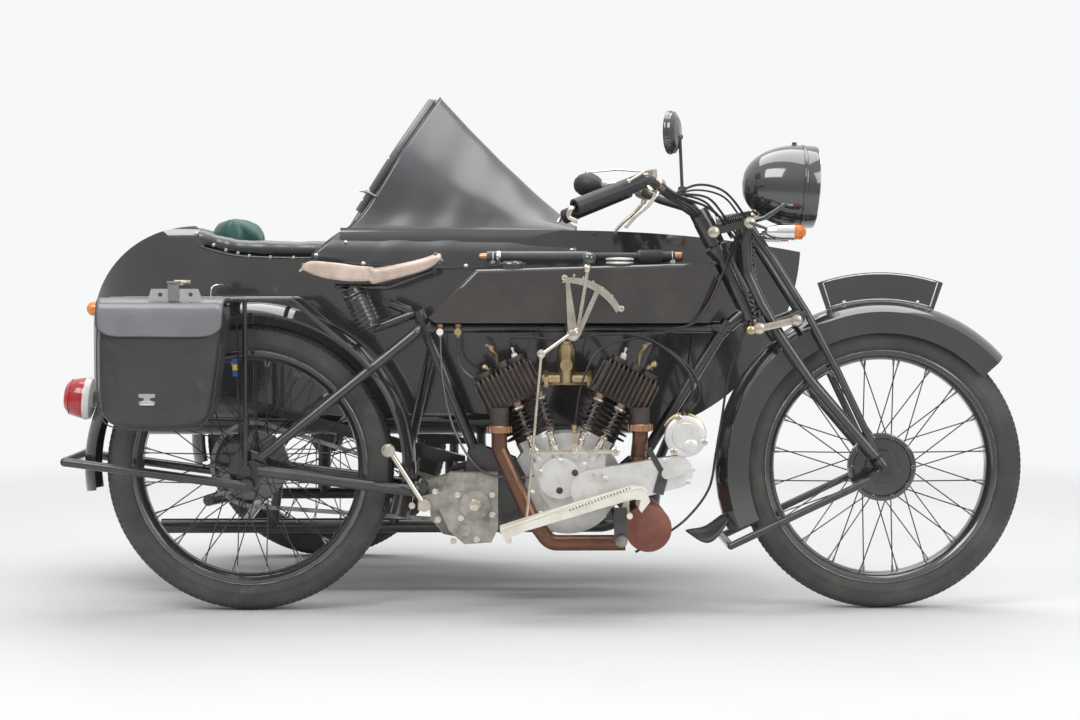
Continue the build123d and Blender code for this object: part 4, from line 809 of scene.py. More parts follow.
def make_squab():
    """The green leather back pad, slack at its top, with creases."""
    build = Builder()
    rows, around = 26, 40
    points = []
    for r in range(rows + 1):
        t = r / rows
        z = 624 + 352 * t
        thick = (44 + 26 * math.sin(math.pi * min(1.0, 0.25 + t * 0.8)) + 14 * t
                 + 52 * max(0.0, (t - 0.62) / 0.38) ** 1.3)
        lean = -96 - 6 * t
        if t > 0.82:
            fall = (t - 0.82) / 0.18
            thick *= math.sqrt(max(0.02, 1 - fall ** 2.2))
        wide = 163 - 10 * (2 * t - 1) ** 6
        for a in range(around):
            turn = math.tau * a / around
            c, s = math.cos(turn), math.sin(turn)
            x = lean + thick * 0.62 * (abs(c) ** 0.8) * (1 if c > 0 else -1)
            y = BODY_Y + wide * (abs(s) ** 0.55) * (1 if s > 0 else -1)
            crease = 5.0 * soft_noise(x, y, z, 0.032, 2.0) * t
            points.append(at(x + crease, y, z + 3.5 * soft_noise(y, x, z, 0.021, 5.0) * t))
    faces = ring_faces(rows + 1, around)
    faces.append(tuple(reversed(range(around))))
    faces.append(tuple(rows * around + a for a in range(around)))
    build.add(points, faces)
    piece = build.make("squab-pad", green_hide, "frame")
    plump(piece, 0.006, 3.0, 0.008)
    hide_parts("sidecar_squab")


make_squab()


def make_cushion():
    """The green seat cushion with pulled-in sides."""
    build = Builder()
    count = 22
    points = []
    for side in (-1, 1):
        for i in range(count + 1):
            for j in range(count + 1):
                u, v = 2 * i / count - 1, 2 * j / count - 1
                pull = 1 - 0.03 * (1 - abs(u) ** 3) * abs(v) ** 6 - 0.03 * (1 - abs(v) ** 3) * abs(u) ** 6
                edge = max(abs(u), abs(v))
                rise = (1 - edge ** 5) ** 0.5 if edge < 1 else 0.0
                z = 572 + (34 * rise if side > 0 else -36 * min(1.0, rise * 1.6))
                points.append(at(60 + 212 * u * pull, BODY_Y + 192 * v * pull, z))
    build.add(points, grid_faces(count, count) + grid_faces(count, count, (count + 1) ** 2))
    piece = build.make("seat-cushion", green_hide, "frame")
    plump(piece, 0.006, 3.0, 0.006)
    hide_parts("sidecar_cushion")


make_cushion()


def body_half(x):
    """Half the width of the sidecar's body at a place along it."""
    if x <= 600:
        return BODY_HALF
    return BODY_HALF - 60.0 * ((x - 600) / 460) ** 1.8


def deck_top(x):
    """The height of the sidecar's deck, which falls slightly towards the nose."""
    return 948.0 - 0.011 * (x + 180)


def clear_of_body(x, y, z, gap):
    """Move a point out of the rounded section of the body, to lie a gap off it."""
    half, top, edge = body_half(x), deck_top(x), 60.0
    across = y - BODY_Y
    side = 1.0 if across > 0 else -1.0
    dy, dz = abs(across) - (half - edge), z - (top - edge)
    if dy <= 0 and dz <= edge + gap:
        return x, y, max(z, top + gap)
    if dz <= 0 and dy <= edge + gap:
        return x, BODY_Y + side * max(abs(across), half + gap), z
    if dy > 0 and dz > 0:
        far = math.hypot(dy, dz)
        if far < edge + gap:
            scale = (edge + gap) / far
            return x, BODY_Y + side * (half - edge + dy * scale), top - edge + dz * scale
    return x, y, z


def make_apron():
    """The apron: one sheet from the hoop over the deck's sides, with soft drawn folds."""
    columns, rows = 72, 44
    lines = [
        ((447, 0, 1291), (812, 0, 951)),
        ((446, 60, 1291), (812, 70, 950)),
        ((443, 97, 1285), (812, 140, 949)),
        ((352, 221, 1142), (812, 205, 947)),
        ((247, 247, 975), (811, 245, 938)),
        ((128, 288, 877), (808, 276, 884)),
        ((129, 289, 862), (807, 277, 868)),
    ]
    places = [0.0, 0.1, 0.17, 0.45, 0.72, 0.95, 1.0]

    def along(u, line):
        (ax, ay, az), (bx, by, bz) = line
        return np.array([ax + (bx - ax) * u, ay + (by - ay) * u, az + (bz - az) * u])

    points = []
    for c in range(columns + 1):
        u = c / columns
        keys = [along(u, line) for line in lines]
        dip = math.sin(math.pi * u)
        keys[0][2] -= 13 * dip
        keys[1][2] -= 15 * dip
        keys[2][2] -= 16 * dip
        keys[3] += np.array([0, 2 * dip, -20 * dip])
        keys[5][2] -= 22 * dip
        keys[6][2] -= 25 * dip
        for r in range(-rows, rows + 1):
            v, side = abs(r) / rows, (-1 if r < 0 else 1)
            index = max(k for k in range(len(places) - 1) if places[k] <= v)
            t = (v - places[index]) / (places[index + 1] - places[index])
            before, after = keys[max(index - 1, 0)].copy(), keys[min(index + 2, len(keys) - 1)]
            if index == 0:
                before = keys[1] * np.array([1, -1, 1])
            a, b = keys[index], keys[index + 1]
            spot = 0.5 * (2 * a + (b - before) * t + (2 * before - 5 * a + 4 * b - after) * t * t
                          + (3 * a - before - 3 * b + after) * t * t * t)
            x, across, z = spot
            fan = math.sin(12.0 * u + 3.2 * v + 0.6) * math.sin(math.pi * min(1.0, v * 1.05)) ** 0.8
            fan += 0.55 * math.sin(27.0 * u - 5.0 * v + side)
            fan *= 4.6 * math.sin(math.pi * min(1.0, 0.04 + u * 0.96)) ** 0.6 * (0.25 + 0.75 * v)
            across += fan * 0.75
            z += fan * 0.35 + 2.0 * soft_noise(x, across * side, z, 0.018, 3.0 + side) * dip
            x, y, z = clear_of_body(x, BODY_Y + side * max(0.0, across), z, 3.4 + 0.5 * max(fan, 0))
            points.append(at(x, y, z))
    width = 2 * rows + 1
    faces = grid_faces(columns, width - 1)
    build = Builder()
    build.add(points, faces)
    piece = build.make("apron-sheet", black_hide, "frame", sharp=80)
    thicken(piece, 0.002, 1.0)
    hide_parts("sidecar_apron")
    hems = Builder()
    for column in (0, columns):
        hems.tube([points[column * width + r] + Vector((0, 0, 0.0012)) for r in range(width)], 2.6, 8)
    for row in (0, width - 1):
        hems.tube([points[c * width + row] for c in range(columns + 1)], 2.4, 8)
    hem = hems.make("apron-hem", black_hide, "frame")
    studs = Builder()
    for c, r in ((1, 2), (5, 6), (14, 1), (28, 1), (42, 1), (57, 1), (71, 3)):
        for row in (r, width - 1 - r):
            spot = points[c * width + row]
            side = 1 if row > rows else -1
            studs.revolve(spot + Vector((0, side * 0.001, 0)), Vector((0, side, 0.1)),
                          [(0, 6.0), (2.2, 5.4), (3.2, 3.8), (5.4, 3.4), (7.0, 0)], 14)
    studs.make("apron-studs", nickel, "frame")


make_apron()
lean = math.radians(32.0)


def screen_at(across, up, ahead=0.0):
    """A place on the leaning windscreen hoop, up from the deck."""
    return at(226 + up * math.sin(lean) + ahead * math.cos(lean), BODY_Y + across,
              948.7 + up * math.cos(lean) - ahead * math.sin(lean))


band = Builder()
for side in (-1, 1):
    band.tube(curve([screen_at(side * 238, 40, -6), screen_at(side * 224, 218, -6),
                     screen_at(side * 104, 392, -6)], 10), 11.5, 10)
    for up in (70, 200):
        band.revolve(screen_at(side * (246 - up * 0.06), up, -12), (0, side, 0.1),
                     [(0, 5), (2.2, 4.6), (3.4, 0)], 12, 1)
    band.revolve(screen_at(side * 240, 96, -16), Vector((0, side, 0)), [(-3, 8), (6, 8), (8, 5), (12, 5),
            (12, 0)], 14, 1)
    band.tube([screen_at(side * 250, 88, -34), screen_at(side * 250, 96, -16), screen_at(side * 250, 98, 10)],
              [2.4, 4.2, 2.4], 8, 1)
band.make("screen-band", [black_hide, nickel], "frame")


def make_pannier():
    """The leather bag: a lofted sagging shell, its flap, strap, plate, clasp and stitching."""
    outline = [(-322, 752), (-325, 640), (-323, 520), (-312, 482), (-280, 463), (-190, 458), (-110, 461),
               (-80, 472), (-62, 500), (-52, 560), (-38, 660), (-31, 752)]
    outline = [(v.x, v.z) for v in curve([Vector((x, 0, z)) for x, z in outline], 5)]
    top = [(-31 - 291 * k / 14, 754 + 3 * math.sin(math.pi * k / 14)) for k in range(1, 14)]
    loop = outline + top
    middle = (-182.0, 612.0)
    build = Builder()
    layers = [(-266, 0.0), (-267.5, 0.5), (-266.5, 0.86), (-263, 0.965), (-256, 0.995), (-236, 0.992),
              (-205, 0.972), (-170, 0.962), (-135, 0.974), (-114, 0.992), (-108, 0.97), (-105, 0.86),
              (-104, 0.5), (-104, 0.0)]
    points = []
    for y, scale in layers:
        for x, z in loop:
            sag = 2.6 * soft_noise(x, y, z, 0.025, 4.0) * (1 if 0.4 < scale < 0.99 else 0.3)
            points.append(at(middle[0] + (x - middle[0]) * max(scale, 0.02), y + sag,
                             middle[1] + (z - middle[1]) * max(scale, 0.02)))
    count = len(loop)
    faces = ring_faces(len(layers), count)
    faces.append(tuple(range(count)))
    faces.append(tuple(reversed([(len(layers) - 1) * count + k for k in range(count)])))
    build.add(points, faces)
    piece = build.make("pannier-bag", pannier_hide, "frame")
    plump(piece, 0.005, 3.0, 0.004)
    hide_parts("pannier")

    wide, deep = 30, 26
    sheet = []
    route = [(-108, 757.5), (-150, 762), (-200, 763), (-244, 761), (-261, 756), (-269, 746), (-272.5, 730),
             (-273.5, 708), (-274, 690), (-274, 676)]
    line = curve([Vector((0, y, z)) for y, z in route], 4)
    line = [line[round(k * (len(line) - 1) / deep)] for k in range(deep + 1)]
    for k, spot in enumerate(line):
        t = k / deep
        for w in range(wide + 1):
            u = 2 * w / wide - 1
            drop = 0.0
            if t > 0.66:
                fall = (t - 0.66) / 0.34
                drop = 16.0 * fall * (abs(u) ** 9)
            z = spot.z + drop + 1.0 * soft_noise(u * 100, spot.y, spot.z, 0.02, 6.0)
            half = 148 - 4 * t - 5.0 * max(0.0, (t - 0.86) / 0.14) ** 2
            y = spot.y - 1.8 * (1 - u * u) * t
            sheet.append(at(-177 + half * u - 3.0 * t, y, z))
    flap = Builder()
    flap.add(sheet, grid_faces(deep, wide))
    cover = flap.make("pannier-flap", grey_hide, "frame", sharp=80)
    thicken(cover, 0.003, 0.0)
    edge = [sheet[k * (wide + 1)] for k in range(6, deep + 1)]
    edge += [sheet[deep * (wide + 1) + w] for w in range(1, wide + 1)]
    edge += [sheet[k * (wide + 1) + wide] for k in range(deep - 1, 5, -1)]
    trim = Builder()
    trim.tube(edge, 2.2, 8)
    seam = [at(-322 + 1.5, -264.5, 740)] + [at(x, -264.5, z) for x, z in outline[4:-4:2]]
    trim.tube(seam, 1.8, 6)
    trim.tube([at(-317, -262, 700), at(-318, -180, 702), at(-319, -112, 700)], 1.6, 6)
    trim.make("pannier-piping", pannier_hide, "frame")
    fittings = Builder()
    front = -269.0
    waist = [(-19, 12), (-19, 4), (-7, 1.5), (-7, -3), (-19, -6), (-17, -15), (17, -15), (19, -6), (7, -3),
             (7, 1.5), (19, 4), (19, 12)]
    centre = (-209.0, 531.0)
    face = [at(centre[0] + x, front - 3.0, centre[1] + z) for x, z in waist]
    back = [at(centre[0] + x, front + 1.0, centre[1] + z) for x, z in waist]
    slab(fittings, face, back, 0)
    fittings.block(at(centre[0], front - 4.5, centre[1] - 9), (30, 3.5, 8), slot=0, bevel=1.4)
    plate = [(-206, 762), (-199, 786), (-90, 786), (-82, 762)]
    face = [at(x, -262, z) for x, z in plate]
    back = [at(x, -259, z) for x, z in plate]
    slab(fittings, face, back, 0)
    for x in (-178, -108):
        fittings.revolve(at(x, -262.5, 773), NEAR, [(0, 5), (2, 4.6), (3, 3), (3, 0)], 14, 1)
    fittings.block(at(-147, -266, 780), (26, 6, 44), slot=2, bevel=2.0)
    fittings.block(at(-147, -262, 801), (30, 22, 5), slot=2, bevel=2.0)
    fittings.revolve(at(-44, -270, 742), NEAR, [(-4, 5), (2.4, 4.6), (3.6, 0)], 12, 0)
    fittings.tube(curve([at(-62, -262, 766), at(-58, -262, 790), at(-40, -240, 796), at(-30, -190, 790),
                         at(-20, -150, 778)], 6), 1.3, 6, 0)
    for k, slot in enumerate((3, 4, 3)):
        fittings.block(at(-24, -120 - 1.0 * k, 612 - 14 * k), (11, 3, 14), slot=slot, bevel=0.8)
    fittings.make("pannier-fittings", [chrome, iron, grey_hide, ribbon_blue, ribbon_yellow], "frame")


make_pannier()


def make_saddle():
    """The moulded leather saddle: a dished sheet with rolled sides and rivets."""
    top = [(131, 830, 96), (140, 842, 108), (160, 848, 113), (200, 846, 115), (245, 840, 112), (285, 836, 92),
           (320, 838, 62), (345, 843, 46), (380, 850, 34), (420, 860, 27), (446, 869, 24), (461, 872, 21),
           (466, 868, 17)]
    skirt = [7, 18, 34, 42, 42, 38, 34, 32, 30, 28, 24, 14, 6]
    rows = curve([Vector(p) for p in top], 4)
    falls = curve([Vector((s, 0, 0)) for s in skirt], 4)
    points, across = [], 22
    for spot, fall in zip(rows, falls):
        x, z, half = spot
        drop = max(4.0, fall.x)
        for a in range(-across, across + 1):
            u = a / across
            if abs(u) < 0.72:
                w = u / 0.72
                y = half * 0.93 * w
                level = z + 4.0 * (abs(w) ** 2) * (1 if x < 300 else -1.4)
            else:
                side = 1 if u > 0 else -1
                t = (abs(u) - 0.72) / 0.28
                turn = min(1.0, t * 2.2) * math.pi / 2
                edge = 4.0 if x < 300 else -5.6
                y = side * (half * 0.93 + 8.0 * math.sin(turn) * (1 - 0.25 * t))
                level = z + edge - 8.0 * (1 - math.cos(turn)) - max(0.0, t - 0.45) / 0.55 * max(0.0, drop - 10)
            points.append(at(x, y, level + 0.8 * soft_noise(x, y, level, 0.05, 8.0)))
    width = 2 * across + 1
    faces = grid_faces(len(rows) - 1, width - 1)
    build = Builder()
    build.add(points, faces)
    piece = build.make("saddle-leather", saddle_hide_and_painted_sheen, "frame", sharp=80)
    thicken(piece, 0.005, -1.0)
    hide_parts("saddle")
    rivets = Builder()
    for side in (-1, 0, 1):
        rivets.revolve(at(452, side * 12, 872.5), (-0.2, 0, 1), [(-2, 5), (1.0, 5), (2.6, 0)], 12)
    for side in (-2, -1, 0, 1, 2):
        rivets.revolve(at(138 - 1.5 * abs(side), side * 42, 843 + abs(side)), (-0.5, 0, 1),
                       [(-2, 5), (1.0, 5), (2.6, 0)], 12)
    rivets.make("saddle-rivets", copper, "frame")


make_saddle()


# Springs and valve gear
def lathe_rod(build, start, end, parts, sides=16, slot=0):
    """Revolve (share of the length, radius) pairs from start to end."""
    start, end = Vector(start), Vector(end)
    length = (end - start).length * 1000
    build.revolve(start, end - start, [(share * length, radius) for share, radius in parts], sides, slot)


valves = Builder()
for (tx, tz), (fx, fz) in (((649.1, 509.7), (690, 402)), ((702.2, 535.4), (738, 408)),
                           ((849.7, 531.1), (800, 408)), ((901.9, 505.5), (846, 402))):
    top, foot = at(tx, -85, tz), at(fx, -85, fz)
    way = (top - foot).normalized()
    span = (top - foot).length
    lathe_rod(valves, foot, top, [(0, 0), (0, 9.5), (0.1, 9.5), (0.12, 7.5), (0.2, 7.5), (0.22, 10.5),
                                  (0.26, 10.5), (0.27, 0)])
    valves.nut(foot + way * span * 0.21, way, 15, 6, 0, dome=False, washer=False)
    valves.tube([foot, top], 4.6, 10, 1)
    base, head = foot + way * span * 0.36, foot + way * span * 0.9
    valves.revolve(base, way, [(-3, 4), (-3, 14.6), (0, 15), (1.5, 13), (1.5, 4)], 20, 1)
    valves.revolve(head, way, [(-4, 4), (-4, 13), (-2, 16.4), (3, 16.8), (5, 13), (5, 4)], 20, 0)
    valves.helix(base + way * 0.003, head - way * 0.0035, 13.2, 2.1, 6.4, 2, 7, 18)
    valves.revolve(head + way * 0.003, way, [(0, 4), (0, 11), (span * 1000 * 0.1 - 2, 12),
                                             (span * 1000 * 0.1, 12), (span * 1000 * 0.1, 0)], 16, 1)
gear = valves.make("valve-gear-springs", [nickel, rod_brown, frame_black], "frame")
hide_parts("valve_gear")

coils = Builder()
for side in (-46.0, 46.0):
    top, foot = fork_at(85.4, 108.4, side), fork_at(-3.4, -115.4, side)
    way = (foot - top).normalized()
    coils.helix(top + way * 0.014, foot - way * 0.02, 10.4, 2.3, 19, 0, 7, 16)
    coils.tube([top, foot], 4.0, 10, 1)
    for spot, turn in ((top, 1), (foot, -1)):
        coils.revolve(spot, way * turn, [(0, 0), (0, 10.5), (10, 11), (14, 9), (14, 3)], 18, 1)
first, last = fork_at(28.3, 150.8), at(1226, 0, 964.1)
way = (last - first).normalized()
coils.helix(first + way * 0.012, last - way * 0.002, 11.6, 2.4, 15, 0, 7, 18)
coils.tube([first, last], 4.0, 10, 1)
coils.revolve(first, way, [(0, 0), (0, 13), (11, 13.4), (12, 4)], 20, 1)
coils.revolve(last, way, [(-3, 4), (-3, 11.5), (2, 12.8), (8, 12.8), (12, 11), (14.4, 6), (14.4, 0)], 20, 2)
for side in (-1, 1):
    for forward, up in ((0, 135), (88, 115), (-6, -122), (83, -145)):
        coils.nut(fork_at(forward, up, side * 104), (0, side, 0), 20, 6, 2)
springs = coils.make("fork-springs-coiled", [frame_black, steel, nickel], "fork")
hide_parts("fork_springs")

seat_coils = Builder()
seat_way = Vector((0.42, 0, -0.9075)).normalized()
for side in (-74.0, 74.0):
    start = at(250, side, 786)
    seat_coils.helix(start + seat_way * 0.014, start + seat_way * 0.094, 24.6, 2.6, 9, 0, 8, 20)
    for shift in (0.0, 0.103):
        seat_coils.revolve(start + seat_way * shift, seat_way, [(-1.5, 0), (-1.5, 24), (1.5, 24.6), (3, 22),
                                                                (3, 0)], 22, 0)
    seat_coils.tube([start - seat_way * 0.004, start + seat_way * 0.11], 5.0, 10, 1)
seat_coils.make("saddle-springs-coiled", [frame_black, steel], "frame")


# Lamps and mirror
lamp_way = Vector((0.998, 0, -0.05)).normalized()
lamp_centre = at(1334, 0, 1036)
lamp = Builder()
bullet = [(-132 + 138 * k / 30, 100.5 * math.sin(math.acos(1 - k / 30)) ** 0.92) for k in range(31)]
lamp.revolve(lamp_centre, lamp_way, bullet + [(7, 99.2), (8.5, 99.2), (9.5, 101.6), (16, 101.8), (17, 100.4),
                                              (40, 100.6), (46, 98.5), (46.5, 94), (44, 91)], 96, 1)
lamp.revolve(lamp_centre, lamp_way, [(8.9, 101.7), (10, 102.2), (14.5, 102.2), (15.6, 101.7)], 96, 1)
lamp.revolve(lamp_centre, lamp_way, [(44.5, 98.8), (46.4, 98.7), (46.9, 96.5)], 96, 0)
lamp.revolve(lamp_centre, lamp_way, [(44, 91.5), (48, 72), (50.5, 44), (51.5, 0)], 72, 2)
for k in range(-7, 8):
    width = math.sqrt(max(0.0, 86.0 ** 2 - (k * 11.5) ** 2))
    line = []
    for s in range(13):
        z = width * (2 * s / 12 - 1)
        far = math.hypot(k * 11.5, z)
        line.append(lamp_centre + lamp_way * ((51.7 - 7.6 * (far / 91.5) ** 2) / 1000)
                    + Vector((0, k * 0.0115, z / 1000)))
    lamp.tube(line, 0.9, 6, 2)
lamp.revolve(at(1330, 0, 1134.5), UP, [(-2, 9), (2, 9), (4, 6), (9, 6), (10, 0)], 16, 1)
lamp.nut(at(1312, 0, 936), DOWN, 20, 9, 1)
lamp.make("headlamp-rim-and-glass", [chrome, black, lamp_glass], "fork")

for side, label in ((-1, "right"), (1, "left")):
    signal = Builder()
    start = at(1252, side * 118, 922)
    signal.revolve(start, AHEAD, [(-8, 0), (-7, 5), (-2, 10), (8, 14.4), (20, 17.4), (34, 18.9), (54, 19.2),
                                  (56, 20), (60, 20), (61, 18)], 32, 0)
    signal.revolve(start, AHEAD, [(60, 18.2), (72, 18.4), (80, 16.6), (87, 11), (90, 5), (90.5, 0)], 32, 1)
    for k in range(5):
        signal.revolve(start, AHEAD, [(62 + 4 * k, 18.2), (63 + 4 * k, 18.9), (64 + 4 * k, 18.2)], 32, 1)
    signal.make(f"direction-lamp-{label}", [chrome, amber_lens], "fork")

tail_way = Vector((-0.995, 0, 0.1)).normalized()
rear = Builder()
tail_centre = at(-388, 0, 517)
rear.revolve(tail_centre, tail_way, [(-8, 0), (-8, 30), (-1, 49), (8, 52), (13, 52), (15, 49)], 48, 1)
rear.revolve(tail_centre, tail_way, [(14, 49.6), (26, 49), (44, 44), (57, 36), (62, 28), (63, 0)], 48, 0)
for k in range(7):
    rear.revolve(tail_centre, tail_way, [(18 + 5 * k, 47.2 - 0.9 * k), (19.5 + 5 * k, 50.2 - 1.15 * k),
                                         (21 + 5 * k, 46.6 - 0.9 * k)], 48, 0)
rear.block(at(-374, 0, 517), (30, 40, 40), slot=3, bevel=4)
spot = at(-338, -96, 738)
rear.revolve(spot, (-1, 0, 0), [(-3, 0), (-3, 12), (-2, 18), (6, 18.6), (10, 18.6), (11, 17)], 28, 1)
rear.revolve(spot, (-1, 0, 0), [(10, 17.2), (28, 17.2), (36, 13), (40, 6), (40.5, 0)], 28, 2)
rear.tube([at(-338, -96, 738), at(-318, -96, 752)], 5, 10, 3)
rear_lamp = rear.make("rear-lamps-lensed", [red_lens, white_paint, amber_lens, black], "frame")
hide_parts("rear_lamps")

view = Builder()
mirror_way = Vector((0.94, -0.34, 0)).normalized()
head = at(1022, -104, 1160)
view.revolve(head, mirror_way, [(-9, 47), (-10.4, 50.6), (-8, 52.4), (-4, 52.6), (0, 51)], 48, 0)
view.revolve(head, -mirror_way, [(9.6, 0), (9.6, 47.5)], 48, 1)
view.ball(at(1040, -100, 1150), 8.5, 0)
view.nut(at(1048, -86, 1020), (0, 0.1, 1), 18, 10, 0, dome=False)
view.make("mirror-rim-and-glass", [black, chrome], "fork")


# Tank, pump and gear lever
caps = Builder()
caps.revolve(at(900, -38, TANK_TOP), UP, [(0, 0), (0, 33), (3, 33.6), (5, 32.4), (6, 27.5), (8.5, 27.5),
                                          (9.5, 33), (13, 33.6), (14.5, 31), (15.6, 12), (16, 0)], 48, 0)
caps.revolve(at(640, -38, TANK_TOP - 2), UP, [(0, 0), (0, 32), (2, 33), (5, 32), (6, 24), (9, 22), (11, 0)], 48,
             1)
for k in range(48):
    turn = math.tau * k / 48
    caps.tube([at(900 + 33.4 * math.cos(turn), -38 + 33.4 * math.sin(turn), TANK_TOP + 9.8),
               at(900 + 33.4 * math.cos(turn), -38 + 33.4 * math.sin(turn), TANK_TOP + 13.2)], 0.8, 5, 0)
for x, y in ((470, -52), (1130, -30)):
    caps.nut(at(x, y, TANK_TOP - 1), UP, 14, 5, 1)
caps.make("tank-caps", [aluminium, black], "frame")

pump = Builder()
pump_at = at(561, 10, 864)
pump.revolve(pump_at, AHEAD, [(-4, 0), (-3, 6), (2, 9), (16, 9.6), (17, 6)], 24, 2)
pump.revolve(pump_at, AHEAD, [(16, 0), (16, 13.6), (24, 13.9), (262, 13.9), (266, 11), (267, 0)], 32, 0)
pump.revolve(pump_at, AHEAD, [(40, 13.8), (42, 14.8), (48, 14.8), (50, 13.8)], 32, 3)
pump.revolve(pump_at, AHEAD, [(266, 0), (266, 10.4), (392, 10.4), (393, 0)], 28, 1)
pump.revolve(pump_at, AHEAD, [(384, 0), (386, 15), (392, 17.6), (444, 17.6), (448, 15), (449, 0)], 36, 1)
for k in range(36):
    turn = math.tau * k / 36
    for ring in range(7):
        spot = pump_at + Vector(((394 + 7.4 * ring + (3.7 if k % 2 else 0)) / 1000, 0.0176 * math.cos(turn),
                                 0.0176 * math.sin(turn)))
        pump.block(spot, (3.0, 2.0, 2.0), slot=1)
pump.revolve(pump_at, AHEAD, [(448, 0), (448, 13), (472, 13.4), (478, 12), (478, 0)], 28, 1)
pump.revolve(pump_at, AHEAD, [(477, 0), (477, 12.4), (494, 12.4), (497, 10), (499, 0)], 28, 2)
for x in (592, 1032):
    pump.tube([at(x, 10 + 16 * math.cos(a), 862 + 15 * math.sin(a)) for a in arc_points(-20, 22, 11)], 1.8, 6,
              3)
    pump.block(at(x, 10, 852), (12, 20, 12), slot=3, bevel=2)
pump_piece = pump.make("pump-barrel", [pump_grey, grip_rubber, copper, nickel], "frame")
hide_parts("tyre_pump")

lever = Builder()
lever.ball(at(822, -104, 858), 16.2, 0, 32)
lever.revolve(at(818, -104, 838), (0.1, 0, 1), [(-12, 7), (-4, 9.5), (2, 9), (8, 5)], 20, 1)
for x, z in ((764, 812), (900, 738)):
    lever.nut(at(x, -100, z), NEAR, 11, 4, 1, dome=False)
lever.nut(at(784, -106, 676), NEAR, 22, 7, 1)
lever.nut(at(708, -106, 630), NEAR, 15, 6, 1)
for k in range(5):
    t = (k + 1) / 6
    x, z = 764 + 136 * t, 812 - 74 * t + 18 * math.sin(math.pi * t)
    lever.block(at(x, -97, z + 9), (6, 9, 7), axes=tilted(0.88, -0.48), slot=1, bevel=1)
lever.make("gear-lever-knob", [black, nickel], "frame")


# Engine
motor = Builder()
IRON, NICKEL, BRASS, WHITE, ALLOY, COPPER, BLACK = range(7)
for x, z, tilt in ((642.8, 618, -0.32), (909.5, 618, 0.3)):
    foot = at(x - tilt * 36, -58, z - 26)
    way = Vector((tilt, -0.12, 1)).normalized()
    motor.nut(foot - way * 0.012, way, 30, 12, NICKEL, dome=False)
    motor.revolve(foot, way, [(0, 13), (5, 12), (8, 8.5), (14, 9.2), (20, 8.0), (23, 8.8), (29, 7.4), (32, 8.0),
                              (40, 6.2)], 24, WHITE)
    motor.revolve(foot, way, [(40, 6.2), (41, 3), (49, 3), (49.5, 4.8), (54, 4.8), (56, 2.5), (58, 0)], 16,
                  NICKEL)
for x, z, side in ((575, 592, -1), (979, 600, 1)):
    way = Vector((side * 0.7, -0.3, 0.64)).normalized()
    start = at(x - side * 12, -60, z - 10)
    motor.revolve(start, way, [(-6, 6), (4, 6), (5, 9), (10, 9), (11, 5), (17, 5), (18, 8.4), (26, 8.4),
                               (28, 6), (28.5, 0)], 16, BRASS)
for x, z, tilt in ((604, 640, -0.5), (945, 645, 0.5)):
    motor.tube(curve([at(x, -30, z - 46), at(x + 8 * tilt, -34, z - 20), at(x + 26 * tilt, -40, z - 6),
                      at(x + 40 * tilt, -42, z + 4)], 6), 4.2, 8, BRASS)
    motor.block(at(x + 42 * tilt, -42, z + 6), (22, 5, 6), axes=(Vector((0.8, 0, 0.6 * tilt)).normalized(),
            ACROSS, Vector((-0.6 * tilt, 0, 0.8)).normalized()), slot=COPPER, bevel=1.5)
for x, z in ((607, 446), (947, 450)):
    motor.revolve(at(x, -92, z), UP, [(-8, 19), (-8, 26), (-6, 28), (8, 28), (10, 26), (12, 22), (12, 19)], 28,
                  COPPER)
    for k in range(10):
        turn = math.tau * k / 10
        motor.block(at(x + 28 * math.cos(turn), -92 + 28 * math.sin(turn), z + 1), (5, 5, 15), slot=COPPER,
                    bevel=1)
# Valve lifter: a bar across the tappets, its post and its cable
motor.block(at(788, -106, LIFTER_Z), (204, 4, 9), slot=NICKEL, bevel=1.2)
for x in (690, 886):
    motor.revolve(at(x, -100, LIFTER_Z), NEAR, [(0, 0), (0, 11), (9, 11), (11, 8), (11, 4.5), (14, 4.5),
                                                (14, 0)], 20, NICKEL)
motor.block(at(787, -104, 416), (17, 9, 44), slot=NICKEL, bevel=2)
motor.nut(at(787, -108, LIFTER_Z + 2), NEAR, 14, 6, NICKEL)
motor.revolve(at(787, -104, 436), UP, [(0, 5), (12, 5), (13, 7.5), (22, 7.5), (24, 3)], 14, BRASS)
# Timing cover: its rim of screws, its plugs and the magneto chain cover's screws
for k in range(9):
    turn = math.radians(20 + 40 * k)
    x, z = 770 + 84 * math.cos(turn), 296 + 78 * math.sin(turn)
    if z > 240 and not (x > 800 and z < 350):
        motor.revolve(at(x, -100, z), NEAR, [(0, 0), (0, 5.6), (4, 5.6), (5.5, 3.4), (5.5, 0)], 14, ALLOY)
for x, z, r in ((789, 343, 8), (752, 300, 8)):
    motor.revolve(at(x, -100, z), NEAR, [(0, 0), (0, r), (2, r), (3, r - 2), (3, 0)], 20, IRON)
for x, z in ((1005, 374), (1062, 322), (1072, 352), (1000, 312), (862, 330), (880, 268)):
    motor.revolve(at(x, -117.6, z), NEAR, [(0, 0), (0, 6), (3, 6), (4.4, 4), (4.4, 0)], 16, ALLOY)
# Magneto: its end cap, its three screws and the clamp strap
cap = at(1054, -122, 432)
motor.revolve(cap, NEAR, [(-4, 49.6), (0, 50), (3, 49), (5, 45), (5.6, 33), (8.5, 31), (9, 0)], 48, ALLOY)
motor.revolve(at(1066, -130, 408), NEAR, [(0, 17), (3, 17), (5, 14), (5, 0)], 28, ALLOY)
for turn in (112, -18, 232):
    a = math.radians(turn)
    spot = at(1054 + 47 * math.cos(a), -124, 432 + 47 * math.sin(a))
    motor.revolve(spot, NEAR, [(-6, 0), (-6, 8.5), (3, 8.5), (4, 7), (4, 4), (6.5, 4), (6.5, 0)], 18, NICKEL)
motor.tube([at(1054 + 51.5 * math.cos(a), -72, 432 + 51.5 * math.sin(a)) for a in arc_points(-60, 12, 19)], 3.4,
           8, BRASS)
